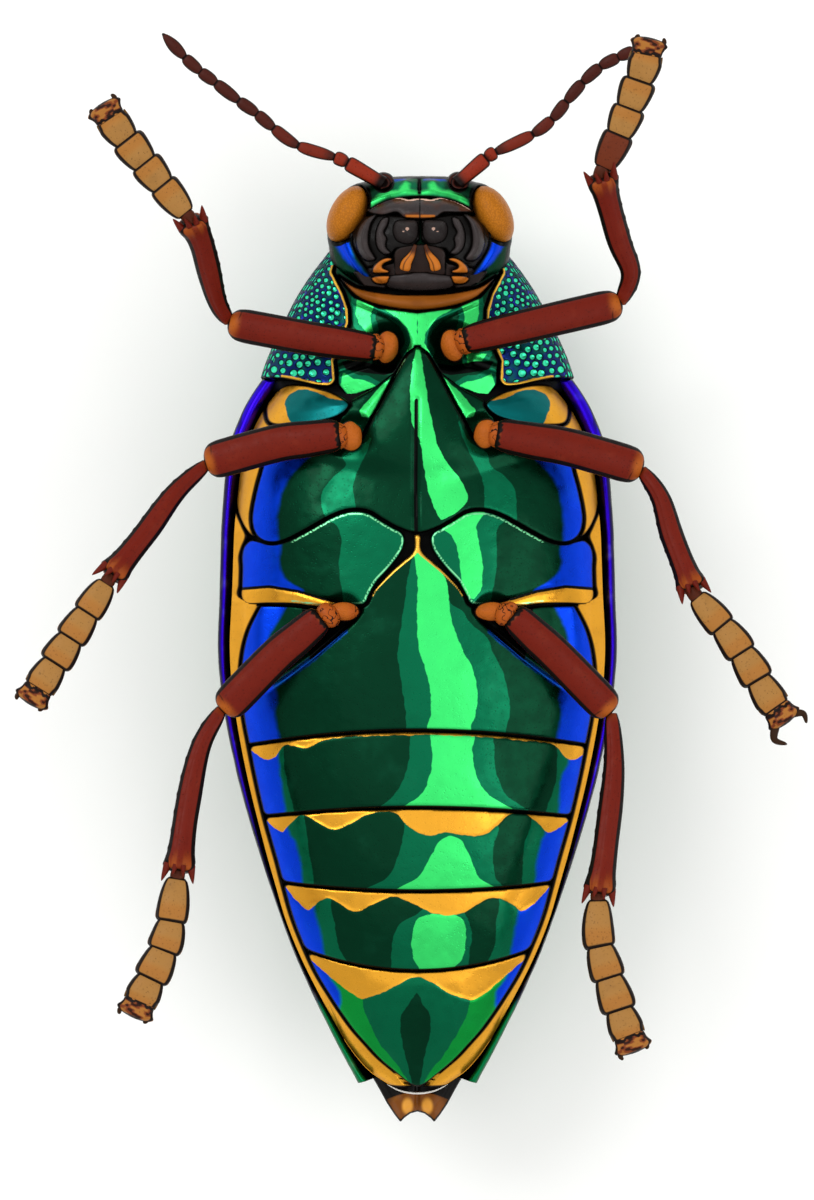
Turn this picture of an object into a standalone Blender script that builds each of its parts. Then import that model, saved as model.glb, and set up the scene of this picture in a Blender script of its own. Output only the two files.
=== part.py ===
"""A life-size jewel beetle (Sternocera) lying on its back, with its legs spread and its underside up.

Run it with blender --background --python part.py, or from Blender's text editor.
The beetle's head points along +Y, its underside faces +Z, and its own left side is at +X.
Shapes are worked out in millimetres, and become metres where a mesh or a curve is made.
"""

import math

import bmesh
import bpy
from mathutils import Matrix, Vector

MM = 0.001
SEAM = 0.06  # the gap between two neighbouring plates of the shell
WING_GAP = 0.1  # the gap between the body and the wing cases
FLOOR_BLOCK = (40, 60, 4)  # the block below the floor that cuts the back flat
SHELL = 0.6  # the thickness of a wing case over the back
UNDER, OVER = -1.0, 17.0  # heights below and above the whole body, for regions that cut it

# The plan outline from above, as (place along Y, half width).
WING_CASE_WIDTH = [
    (8.25, 6.6), (7.0, 7.45), (5.5, 7.98), (2.5, 8.27), (-0.8, 8.37), (-3.0, 8.42),
    (-5.3, 8.2), (-8.8, 7.47), (-12.6, 6.32), (-16.0, 5.1), (-19.2, 3.6), (-21.3, 2.5),
]
WING_CASE_RIM = [(8.25, 0.8), (6.5, 0.72), (4.5, 0.56), (0.0, 0.5), (-8.0, 0.46), (-21.3, 0.42)]
# The rim's section, as (measured from the outer edge, height over the side edge).
WING_CASE_BEAD = [(0.04, 0.35), (0.2, 0.65)]
WING_CASE_LIP = (0.02, 0.55)  # the same for the rim's inner edge, measured from there
WING_CASE_SWEEP = 0.4  # how far each wing case's tip runs back from its sides
WING_CASE_STATIONS = [8.25, 7.3, 6.2, 4.5, 2.0, -1.0, -4.5, -8.0, -11.5, -14.5, -17.0, -19.3, -21.3]
TAIL_WIDTH = [(-16.0, 4.6), (-17.5, 3.95), (-19.0, 3.2), (-20.2, 2.45), (-21.0, 1.7), (-21.5, 1.0)]
BELLY_PLATE_WIDTH = [
    (-1.0, 6.55), (-2.1, 7.1), (-3.1, 7.36), (-4.3, 7.45), (-5.7, 7.32), (-7.2, 7.0),
    (-8.8, 6.6), (-10.1, 6.24), (-12.7, 5.42), (-15.6, 4.36), (-17.7, 3.38), (-19.4, 2.3),
    (-20.7, 1.1), (-21.3, 0.45),
]
PRONOTUM_WIDTH = [(8.31, 6.72), (9.6, 6.35), (11.1, 5.75), (12.0, 5.3), (13.0, 4.67), (14.4, 3.5)]

# The side view, as (place along Y, height). The floor is at 0 and the back is lowest.
BACK = [
    (8.25, 1.15), (6.0, 0.3), (3.0, -0.12), (0.0, -0.22), (-4.0, -0.12), (-8.0, 0.45),
    (-12.0, 1.55), (-16.0, 3.2), (-19.0, 4.65), (-21.3, 5.9),
]
SIDE_EDGE = [(8.25, 7.7), (5.0, 8.2), (0.0, 8.7), (-5.0, 9.0), (-12.0, 8.95), (-17.0, 8.6), (-21.3, 8.1)]
BELLY = [
    (8.25, 12.0), (6.0, 12.75), (4.0, 13.2), (2.0, 13.45), (-2.0, 13.5), (-5.0, 13.35),
    (-9.0, 12.9), (-13.0, 12.15), (-16.0, 11.3), (-19.0, 10.2), (-21.4, 9.0),
]
TAIL_FLOOR = [(-19.0, 5.5), (-20.3, 7.1), (-21.5, 7.9)]
PRONOTUM_BACK = [(8.31, 1.0), (10.0, 1.55), (12.0, 2.9), (14.4, 5.1)]
PRONOTUM_EDGE = [(8.31, 7.5), (12.0, 7.3), (14.4, 7.2)]
PRONOTUM_BELLY = [(8.31, 11.5), (10.0, 11.5), (12.0, 11.1), (13.0, 10.5), (14.4, 9.2)]

BACK_ROUNDNESS = 2.3
BELLY_ROUNDNESS = 2.3
BREAST_ROUNDNESS = 2.0

# Plate outlines seen from above, on the +X side. Each is mirrored for the other side.
BREAST_PLATE = [
    (0.0, 4.6), (2.2, 5.85), (3.6, 5.85), (4.6, 6.2), (6.15, 6.25), (6.5, 4.8),
    (6.8, 3.7), (6.98, 2.6), (6.8, 1.9), (6.3, 1.58), (5.6, 1.65), (4.65, 2.12),
    (3.6, 2.7), (2.8, 2.95), (2.05, 2.88), (1.4, 2.5), (0.75, 2.15), (0.0, 1.95),
]
HIND_COXA_PLATE = [
    (0.42, 2.9), (0.48, 1.5), (0.85, 0.95), (1.35, 0.3), (1.8, -0.5), (2.25, -1.08),
    (3.2, -1.12), (4.1, -1.15), (5.2, -1.02), (6.3, -1.0), (7.2, -1.05), (7.48, -0.7),
    (7.4, -0.2), (7.4, 0.5), (7.42, 1.2), (7.15, 1.8), (5.5, 3.2), (3.0, 3.8),
]
SIDE_PLATE = [
    (5.6, 5.6), (5.9, 6.35), (7.2, 6.38), (9.0, 6.3), (9.2, 5.0), (8.6, 3.75), (7.55, 3.6),
    (7.33, 2.9), (6.95, 1.95), (6.3, 2.6), (5.9, 4.0),
]
SHOULDER_PLATE = [(3.05, 9.5), (3.1, 7.6), (3.35, 6.75), (4.3, 6.45), (9.5, 6.45), (9.5, 9.5)]
THROAT_PLATE = [
    (0.0, 8.1), (1.0, 8.15), (2.0, 7.95), (2.95, 7.62), (3.35, 8.2), (3.42, 9.2), (3.05, 10.0),
    (2.8, 10.8), (2.82, 11.4), (3.05, 12.1), (3.5, 13.0), (3.3, 13.8), (3.2, 15.5), (0.0, 15.5),
]
CHIN = [(0.0, 11.3), (1.6, 11.52), (2.6, 11.95), (3.3, 12.8), (2.6, 12.35), (1.4, 12.08), (0.0, 12.0)]
MOUTH_ROOM = [
    (0.0, 12.0), (1.4, 12.08), (2.6, 12.35), (3.3, 12.8), (3.9, 13.0), (3.9, 15.7), (0.0, 15.7),
]
# The room on one side, between the spear, the shoulder plate and the leg, for the mesosternum.
ARM_ROOM = [(SEAM, 9.5), (4.5 + SEAM, 9.5), (4.8 + SEAM, 4.4), (SEAM, 4.4)]
THROAT_FLOOR = 5.5
CHIN_FLOOR = 8.4

# The spear of the breast plate, as (place along Y, half width, ridge height).
SPEAR = [
    (9.65, 0.16, 12.55), (9.35, 0.5, 12.8), (8.5, 0.95, 13.1), (7.4, 1.5, 13.35),
    (6.35, 2.08, 13.5), (5.2, 2.6, 13.45), (4.2, 1.9, 13.2),
]
SPEAR_FLOOR = 10.4
SPEAR_CROWN = (0.55, 0.09)  # where its flat crown ends, as a share of its width, and how much lower
SPEAR_SLOPE = 0.28  # how far its sides drop, times the root of its width

# Where each belly segment starts, as (place along Y on the middle line, place at its sides).
BELLY_JOINTS = [(-6.29, -6.95), (-9.52, -9.95), (-13.04, -12.73), (-16.42, -15.6), (-22.0, -22.0)]
BELLY_FRONT = (6.5, 4.0)  # the corner of the belly's plates under the hind coxae
BELLY_TIP = (0.45, -22.4)
SHINGLE = 0.12  # how far each segment's hind edge stands over the next one

HEAD_CENTRE = (0.0, 14.5, 7.9)
HEAD_SIZE = (3.85, 2.54, 3.15)
HEAD_ROUNDNESS = 2.8
MOUTH_CENTRE = (0.0, 14.1, 10.5)
MOUTH_SIZE = (2.95, 2.0, 1.3)
MOUTH_ROUNDNESS = 2.2
MOUTH_HEIGHTS = (8.0, 12.6)  # past the mouthparts below and above
EYE_CENTRE = (3.06, 15.4, 9.0)
EYE_SIZE = (0.78, 1.32, 1.75)
EYE_TURN = math.radians(28)

# Mouthparts seen from above, on the +X side.
UPPER_LIP = [(0.0, 15.3), (0.8, 15.45), (1.5, 15.5), (2.3, 15.45), (1.7, 16.3), (0.0, 16.4)]
JAW = [
    (0.06, 15.15), (0.8, 15.3), (1.5, 15.36), (2.3, 15.3), (3.2, 14.6), (3.1, 13.3), (2.3, 13.1),
    (1.5, 13.3), (1.05, 13.9), (0.4, 13.95), (0.06, 14.3),
]
CHEEK_PIECE = [(1.2, 13.25), (2.0, 13.0), (2.9, 12.95), (2.4, 12.3), (1.5, 12.2), (1.0, 12.7)]
LOWER_LIP = [(0.0, 14.15), (0.4, 13.75), (0.95, 13.7), (1.05, 13.2), (0.85, 12.6), (1.3, 12.0), (0.0, 11.9)]

# A feeler's joints from above, for the beetle's right side and its left. The height runs evenly.
FEELER_RIGHT = [
    (-1.45, 16.72), (-2.94, 17.58), (-3.32, 17.74), (-3.65, 17.87), (-5.09, 18.34), (-6.12, 19.09),
    (-6.81, 19.68), (-7.57, 20.22), (-8.54, 20.97), (-9.18, 21.45), (-9.83, 22.04), (-10.74, 23.01),
]
FEELER_LEFT = [
    (1.6, 16.72), (2.97, 17.82), (3.35, 18.05), (3.7, 18.22), (4.91, 18.82), (5.71, 19.46),
    (6.31, 20.2), (7.0, 21.0), (7.75, 21.65), (8.5, 22.03), (9.15, 22.3), (9.8, 22.58),
]
FEELER_HEIGHT = (9.0, 10.5)
FEELER_THICKNESS = (0.52, 0.64)  # at a joint, and at the thickest place between two joints
FEELER_TIP = 0.2
FEELER_SOCKET = 0.45

# Each leg from above: where its coxa sits, and the paths of its femur, tibia and foot.
LEGS = {
    "fore_right": {
        "coxa": (-1.28, 9.77), "femur": [(-2.02, 9.75), (-4.66, 10.17), (-7.46, 10.7)],
        "tibia": [(-7.94, 10.86), (-8.43, 11.78), (-8.97, 13.93), (-9.42, 14.95)],
        "foot": [(-9.62, 15.2), (-11.08, 16.99), (-12.5, 18.8), (-13.0, 19.55)],
    },
    "fore_left": {
        "coxa": (1.47, 9.84), "femur": [(2.2, 10.1), (5.18, 10.81), (8.1, 11.5)],
        "tibia": [(8.55, 11.66), (8.93, 12.85), (8.4, 14.25), (7.63, 16.8)],
        "foot": [(7.7, 17.1), (8.4, 18.6), (9.3, 21.0), (9.6, 22.25)],
    },
    "middle_right": {
        "coxa": (-2.8, 6.0), "femur": [(-3.5, 6.03), (-5.89, 5.71), (-8.35, 5.05)],
        "tibia": [(-8.85, 4.85), (-10.12, 3.64), (-11.34, 1.94), (-12.75, 0.14)],
        "foot": [(-12.92, -0.13), (-14.26, -2.2), (-15.6, -4.3), (-16.0, -4.95)],
    },
    "middle_left": {
        "coxa": (2.84, 6.1), "femur": [(3.55, 6.04), (6.37, 5.54), (8.9, 4.83)],
        "tibia": [(9.4, 4.6), (10.15, 3.43), (10.63, 1.78), (11.45, -0.4)],
        "foot": [(11.6, -0.7), (13.15, -2.57), (14.6, -4.9), (15.2, -5.75)],
    },
    "hind_right": {
        "coxa": (-3.1, -1.32), "femur": [(-4.0, -1.55), (-5.96, -3.23), (-7.79, -5.1)],
        "tibia": [(-8.2, -5.4), (-9.06, -6.99), (-9.6, -9.5), (-9.94, -12.15)],
        "foot": [(-10.0, -12.4), (-10.42, -14.98), (-11.42, -17.28), (-11.72, -17.95)],
    },
    "hind_left": {
        "coxa": (3.1, -1.32), "femur": [(3.95, -1.45), (5.87, -3.23), (7.75, -5.15)],
        "tibia": [(8.12, -5.6), (8.19, -7.98), (7.85, -11.0), (7.55, -13.1)],
        "foot": [(7.5, -13.3), (7.58, -15.2), (8.4, -17.9), (8.95, -19.4)],
    },
}
# For each pair of legs: heights of the coxa, the femur's two ends, the tibia's end and the claws,
# then the coxa's half sizes, and the widths of the femur, of the tibia's end and of the foot's joints.
LEG_HEIGHTS = {
    "fore": (11.5, 12.05, 11.4, 14.9, 15.4),
    "middle": (12.75, 13.15, 12.3, 14.9, 15.4),
    "hind": (13.3, 13.75, 13.0, 14.6, 15.2),
}
COXA_SIZE = {"fore": (0.66, 0.66, 0.62), "middle": (0.6, 0.6, 0.55), "hind": (0.75, 0.42, 0.5)}
FEMUR_WIDTH = {"fore": 1.4, "middle": 1.58, "hind": 1.5}
TIBIA_WIDTH = {"fore": 1.25, "middle": 1.2, "hind": 1.25}
FOOT_WIDTH = {"fore": 1.46, "middle": 1.44, "hind": 1.52}
FOOT_JOINT_WIDTHS = (0.9, 1.0, 1.04, 1.0)  # each joint's share of that width
FOOT_FLAT = 0.62  # a foot's height over its width
# Where a foot's four joints start and end, as shares of its path.
FOOT_JOINTS = {
    "fore": (0.0, 0.3, 0.51, 0.73, 1.0),
    "middle": (0.0, 0.28, 0.5, 0.71, 1.0),
    "hind": (0.0, 0.33, 0.54, 0.76, 1.0),
}
KNEE_RADIUS = 0.28
CLAW_LENGTH = 0.35
LONG_CLAW_LENGTH = 0.8
LONG_CLAWS = "middle_left"  # the leg whose claws are spread widest
CLAW_RADII = [0.28, 0.25, 0.1]

# The last plate of the back, which shows past the wing cases.
TAIL_PLATE = [(0.0, -20.9), (1.45, -20.95), (1.42, -22.0), (0.73, -23.0), (0.38, -22.68), (0.0, -22.58)]
TAIL_PLATE_HEIGHTS = (6.95, 7.5)

GREEN = ("emerald_shell", (0.0, 0.22, 0.085), 0.25, 0.75)
PITTED = ("pitted_shell", (0.01, 0.1, 0.22), 0.35, 0.7)
GOLD = ("golden_shell", (0.8, 0.4, 0.035), 0.35, 0.3)
ORANGE = ("joint_horn", (0.45, 0.13, 0.02), 0.4, 0.0)
RED = ("leg_horn", (0.2, 0.015, 0.008), 0.35, 0.0)
TAN = ("foot_horn", (0.5, 0.26, 0.08), 0.5, 0.0)
BROWN = ("feeler_horn", (0.16, 0.03, 0.018), 0.4, 0.0)
DARK = ("mouth_horn", (0.035, 0.026, 0.024), 0.35, 0.0)
AMBER = ("eye_amber", (0.48, 0.19, 0.015), 0.3, 0.0)


def clear_scene():
    for obj in list(bpy.data.objects):
        bpy.data.objects.remove(obj)


def collection(name):
    made = bpy.data.collections.new(name)
    bpy.context.scene.collection.children.link(made)
    return made


def material(finish):
    """The Principled material for a finish, made once: its name, colour, roughness and metallic value."""
    name, colour, roughness, metallic = finish
    made = bpy.data.materials.get(name)
    if made is None:
        made = bpy.data.materials.new(name)
        made.use_nodes = True
        shader = made.node_tree.nodes["Principled BSDF"]
        shader.inputs["Base Color"].default_value = (*colour, 1.0)
        shader.inputs["Roughness"].default_value = roughness
        shader.inputs["Metallic"].default_value = metallic
    return made


def smooth(stations, place):
    """The height of a smooth curve through (place, value) stations, held level past its ends."""
    stations = sorted(stations)
    if place <= stations[0][0]:
        return stations[0][1]
    if place >= stations[-1][0]:
        return stations[-1][1]
    i = max(k for k, (at, _) in enumerate(stations[:-1]) if at <= place)

    def slope(k):
        before, after = stations[max(k - 1, 0)], stations[min(k + 1, len(stations) - 1)]
        return (after[1] - before[1]) / (after[0] - before[0])

    (x0, y0), (x1, y1) = stations[i], stations[i + 1]
    span = x1 - x0
    t = (place - x0) / span
    return (
        (2 * t**3 - 3 * t**2 + 1) * y0
        + (t**3 - 2 * t**2 + t) * span * slope(i)
        + (3 * t**2 - 2 * t**3) * y1
        + (t**3 - t**2) * span * slope(i + 1)
    )


def curve_through(points, steps):
    """Points on a smooth curve through the given ones, with this many steps from each to the next."""
    points = [Vector(p) for p in points]
    count = len(points)
    made = []
    for i in range(count - 1):
        p1, p2 = points[i], points[i + 1]
        p0 = points[i - 1] if i else 2 * p1 - p2
        p3 = points[i + 2] if i + 2 < count else 2 * p2 - p1
        for k in range(steps):
            t = k / steps
            made.append(
                0.5 * (2 * p1 + (p2 - p0) * t + (2 * p0 - 5 * p1 + 4 * p2 - p3) * t**2
                       + (3 * p1 - p0 - 3 * p2 + p3) * t**3)
            )
    return made + [points[-1]]


def spaced(first, last, count):
    return [first + (last - first) * i / (count - 1) for i in range(count)]


def mirrored(points, side):
    """The outline on the side wanted: +1 is the beetle's left, at +X, and -1 its right."""
    return [(side * p[0], *p[1:]) for p in points]


def both_sides(half):
    """A closed outline from the half of it that starts and ends on the middle line."""
    return list(half) + [(-x, y) for x, y in reversed(half) if x > 0]


def grown(outline, distance):
    """The closed outline moved outwards by a distance."""
    points = [Vector(p[:2]) for p in outline]
    area = sum(a.x * b.y - b.x * a.y for a, b in zip(points, points[1:] + points[:1]))
    turn = 1 if area > 0 else -1
    made = []
    for before, here, after in zip(points[-1:] + points[:-1], points, points[1:] + points[:1]):
        along = (here - before).normalized() + (after - here).normalized()
        outwards = Vector((along.y, -along.x)).normalized() * turn
        made.append(here + outwards * distance)
    return made


class Model:
    """The beetle's objects, the helpers that cut them, and the empty that carries them."""

    def __init__(self):
        self.parts = collection("jewel_beetle")
        self.helpers = collection("cutters")
        self.root = bpy.data.objects.new("jewel_beetle_root", None)
        self.parts.objects.link(self.root)

    def part(self, name, data, finish):
        obj = bpy.data.objects.new(name, data)
        data.materials.clear()
        data.materials.append(material(finish))
        self.parts.objects.link(obj)
        obj.parent = self.root
        return obj

    def helper(self, name, data):
        obj = bpy.data.objects.new(name, data)
        self.helpers.objects.link(obj)
        obj.hide_render = True
        obj.display_type = "WIRE"
        return obj


def mesh_from(name, build):
    """A mesh made by build(bm) in millimetres, with its faces turned outwards and its size in metres."""
    bm = bmesh.new()
    build(bm)
    bmesh.ops.triangulate(bm, faces=bm.faces)
    bmesh.ops.recalc_face_normals(bm, faces=bm.faces)
    bmesh.ops.scale(bm, vec=(MM, MM, MM), verts=bm.verts)
    mesh = bpy.data.meshes.new(name)
    bm.to_mesh(mesh)
    bm.free()
    mesh.shade_smooth()
    mesh.set_sharp_from_angle(angle=math.radians(40))
    return mesh


def loft(name, rings):
    """A closed body through rings of equally many points, with its two ends filled."""

    def build(bm):
        rows = [[bm.verts.new(p) for p in ring] for ring in rings]
        for row, following in zip(rows, rows[1:]):
            for i in range(len(row)):
                j = (i + 1) % len(row)
                bm.faces.new((row[i], row[j], following[j], following[i]))
        bm.faces.new(rows[0])
        bm.faces.new(rows[-1])

    return mesh_from(name, build)


def ball(name, centre, size, roundness=2.0, turn=0.0, segments=8, rings=6):
    """A ball with three half sizes. A roundness over 2 squares its shoulders, and turn is about Z."""

    def build(bm):
        bmesh.ops.create_uvsphere(bm, u_segments=segments, v_segments=rings, radius=1)
        for vert in bm.verts:
            length = sum(abs(c) ** roundness for c in vert.co) ** (1 / roundness)
            vert.co = Vector(c / length * s for c, s in zip(vert.co, size))
        bmesh.ops.rotate(bm, verts=bm.verts, matrix=Matrix.Rotation(turn, 3, "Z"))
        bmesh.ops.translate(bm, verts=bm.verts, vec=centre)

    return mesh_from(name, build)


def prism(name, outline, low, high, grow=0.0):
    """The mesh of an outline seen from above, filled and extruded from one height to another."""
    points = grown(outline, grow)
    curve = bpy.data.curves.new(name, "CURVE")
    curve.dimensions = "2D"
    curve.fill_mode = "BOTH"
    curve.extrude = (high - low) / 2 * MM
    spline = curve.splines.new("POLY")
    spline.points.add(len(points) - 1)
    for target, point in zip(spline.points, points):
        target.co = (point[0] * MM, point[1] * MM, 0, 1)
    spline.use_cyclic_u = True
    shape = bpy.data.objects.new(name, curve)
    bpy.context.scene.collection.objects.link(shape)
    graph = bpy.context.evaluated_depsgraph_get()
    mesh = bpy.data.meshes.new_from_object(shape.evaluated_get(graph))
    bpy.data.objects.remove(shape)
    mesh.transform(Matrix.Translation((0, 0, (low + high) / 2 * MM)))
    bm = bmesh.new()
    bm.from_mesh(mesh)
    bmesh.ops.remove_doubles(bm, verts=bm.verts, dist=MM / 1000)
    bmesh.ops.recalc_face_normals(bm, faces=bm.faces)
    bm.to_mesh(mesh)
    bm.free()
    mesh.name = name
    return mesh


def tube_rings(points, radii, flat=1.0, sides=8, up=(0, 0, 1)):
    """Rings round a path. Each is as wide as twice its radius, and as high as flat times that."""
    rings = []
    for i, (point, radius) in enumerate(zip(points, radii)):
        along = (points[min(i + 1, len(points) - 1)] - points[max(i - 1, 0)]).normalized()
        across = along.cross(Vector(up)).normalized()
        over = across.cross(along)
        ring = []
        for k in range(sides):
            angle = math.tau * k / sides
            ring.append(point + across * radius * math.cos(angle) + over * radius * flat * math.sin(angle))
        rings.append(ring)
    return rings


def tapered(name, path, radii, steps=2, flat=1.0, sides=8):
    """A limb along a smooth path, with a radius at each of the path's points."""
    points = curve_through(path, steps)
    stations = [(i * steps, radius) for i, radius in enumerate(radii)]
    read = [smooth(stations, k) for k in range(len(points))]
    return loft(name, tube_rings(points, read, flat, sides))


def boolean(obj, tool, operation):
    modifier = obj.modifiers.new(f"{operation.lower()}_{tool.name}", "BOOLEAN")
    modifier.operation = operation
    modifier.object = tool
    modifier.solver = "EXACT"


def keep_inside(obj, tool):
    boolean(obj, tool, "INTERSECT")


def cut(obj, *tools):
    for tool in tools:
        boolean(obj, tool, "DIFFERENCE")


def join(obj, *tools):
    for tool in tools:
        boolean(obj, tool, "UNION")


def quarter(width, height, roundness, count):
    """Points (x, z) from the top of a rounded quarter, above the middle, out to its edge."""
    made = []
    for k in range(count):
        angle = math.pi / 2 * k / (count - 1)
        x = width * math.sin(angle) ** (2 / roundness)
        z = height * max(math.cos(angle), 0.0) ** (2 / roundness)
        made.append((x, z))
    return made


def body_ring(y, width, edge, top, bottom, roundness, upper=6, lower=3):
    """A ring round the body: its upper side, with this roundness, and its lower side."""
    above = [(x, edge + z) for x, z in quarter(width, top - edge, roundness, upper)]
    below = [(x, edge - z) for x, z in quarter(width, edge - bottom, BACK_ROUNDNESS, lower)]
    right = above + below[-2::-1]
    left = [(-x, z) for x, z in right[-2:0:-1]]
    return [Vector((x, y, z)) for x, z in right + left]


def inner_width(y):
    """Half the width between the wing cases' rims."""
    return smooth(WING_CASE_WIDTH, y) - smooth(WING_CASE_RIM, y)


def trunk_width(y):
    width = inner_width(y) - WING_GAP
    return min(width, smooth(TAIL_WIDTH, y)) if y < TAIL_WIDTH[0][0] else width


def trunk_floor(y):
    low = smooth(BACK, y) + SHELL + WING_GAP
    return max(low, smooth(TAIL_FLOOR, y)) if y < TAIL_FLOOR[0][0] else low


def trunk(name, front, back, count, lift=(0.0, 0.0)):
    """The body inside the wing cases, from one place along Y to another. Its upper side is
    raised by lift, which runs evenly from front to back."""
    rings = []
    for i, y in enumerate(spaced(front, back, count)):
        share = i / (count - 1)
        top = smooth(BELLY, y) + lift[0] + (lift[1] - lift[0]) * share
        edge = smooth(SIDE_EDGE, y)
        rings.append(body_ring(y, trunk_width(y), edge, top, trunk_floor(y), BELLY_ROUNDNESS))
    return loft(name, rings)


def wing_case(model, name, side):
    """One wing case: a shell over the back that wraps the side up to its rim, cut flat to lie on."""
    rings = []
    for y in WING_CASE_STATIONS:
        width, inner = smooth(WING_CASE_WIDTH, y), inner_width(y)
        edge, back = smooth(SIDE_EDGE, y), smooth(BACK, y)
        outside = [(x, edge - z) for x, z in quarter(width, edge - back, BACK_ROUNDNESS, 7)]
        inside = [(x, edge - z) for x, z in quarter(inner, edge - back - SHELL, BACK_ROUNDNESS, 5)]
        outside[0] = (SEAM / 2, outside[0][1])
        inside[0] = (SEAM / 2, inside[0][1])
        rim = [(width - inset, edge + rise) for inset, rise in WING_CASE_BEAD]
        rim.append((inner + WING_CASE_LIP[0], edge + WING_CASE_LIP[1]))
        section = outside + rim + inside[::-1]
        sweep = WING_CASE_SWEEP if y == WING_CASE_STATIONS[-1] else 0.0
        rings.append([Vector((side * x, y + sweep * (1 - (x / width) ** 2), z)) for x, z in section])
    case = model.part(name, loft(name, rings), GREEN)
    cut(case, bpy.data.objects["floor"])
    return case


def build_back(model):
    def build(bm):
        bmesh.ops.create_cube(bm, size=1)
        bmesh.ops.scale(bm, vec=FLOOR_BLOCK, verts=bm.verts)
        bmesh.ops.translate(bm, verts=bm.verts, vec=(0, 0, -FLOOR_BLOCK[2] / 2))

    model.helper("floor", mesh_from("floor", build))
    wing_case(model, "wing_case_left", 1)
    wing_case(model, "wing_case_right", -1)


def region(model, name, outline, low=UNDER, high=OVER, grow=0.0):
    """A helper that fills an outline seen from above, from one height to another."""
    return model.helper(name, prism(name, outline, low, high, grow))


def region_and_wide(model, name, outline, low=UNDER):
    """The region of an outline, and the same one grown by a seam, to cut with."""
    own = region(model, f"{name}_region", outline, low)
    return own, region(model, f"{name}_wide", outline, low - SEAM, OVER + SEAM, SEAM)


def spear_mesh(name, grow=0.0):
    """The spear of the breast plate, a long ridged wedge that points at the head."""
    rings = []
    for i, (y, width, ridge) in enumerate(SPEAR):
        reach = y + (grow if i == 0 else 0)
        wide, high = width + grow, ridge + grow
        shoulder = high - SPEAR_SLOPE * wide**0.5
        low = SPEAR_FLOOR - grow
        crown = (wide * SPEAR_CROWN[0], high - SPEAR_CROWN[1])
        half = [(0.0, high), crown, (wide, shoulder), (wide, low)]
        rings.append([Vector((x, reach, z)) for x, z in half + [(-x, z) for x, z in half[:0:-1]]])
    return loft(name, rings)


def build_breast(model):
    """The plates under the middle and hind thorax, and the spear."""
    breast, breast_wide = region_and_wide(model, "breast", both_sides(BREAST_PLATE))
    spear = model.helper("spear", spear_mesh("spear"))
    spear_wide = model.helper("spear_wide", spear_mesh("spear_wide", SEAM))

    metasternum = model.part("metasternum", trunk("metasternum", 8.25, 0.5, 5), GREEN)
    keep_inside(metasternum, breast)
    join(metasternum, spear)

    for side, word in ((1, "left"), (-1, "right")):
        coxa, coxa_wide = region_and_wide(model, f"coxa_{word}", mirrored(HIND_COXA_PLATE, side))
        flank, flank_wide = region_and_wide(model, f"flank_{word}", mirrored(SIDE_PLATE, side))
        outline = mirrored(SHOULDER_PLATE, side)
        shoulder, shoulder_wide = region_and_wide(model, f"shoulder_{word}", outline)
        room = region(model, f"arm_{word}_region", mirrored(ARM_ROOM, side))

        plate = model.part(f"hind_coxal_plate_{word}", trunk("hind_coxal_plate", 4.5, -2.0, 5), GREEN)
        keep_inside(plate, coxa)
        cut(plate, breast_wide)

        flank_plate = model.part(f"metepisternum_{word}", trunk("metepisternum", 7.2, 1.2, 5), GOLD)
        keep_inside(flank_plate, flank)
        cut(flank_plate, breast_wide, coxa_wide)

        shoulder_plate = model.part(f"mesepimeron_{word}", trunk("mesepimeron", 8.25, 5.5, 4), GREEN)
        keep_inside(shoulder_plate, shoulder)
        cut(shoulder_plate, breast_wide, flank_wide)

        arm = model.part(f"mesosternum_{word}", trunk("mesosternum", 8.25, 4.0, 5), GREEN)
        keep_inside(arm, room)
        cut(arm, breast_wide, spear_wide, shoulder_wide)


def belly_outline(front, back, count=4):
    """The outline of one belly plate between two curved joints."""
    across = spaced(1.0, -1.0, 7)
    ends = []
    for middle, edge in (front, back):
        width = smooth(BELLY_PLATE_WIDTH, edge)
        ends.append([(share * width, middle + (edge - middle) * share**2) for share in across])
    side = [(-smooth(BELLY_PLATE_WIDTH, y), y) for y in spaced(front[1], back[1], count)[1:-1]]
    return ends[0] + side + ends[1][::-1] + [(-x, y) for x, y in side[::-1]]


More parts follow.
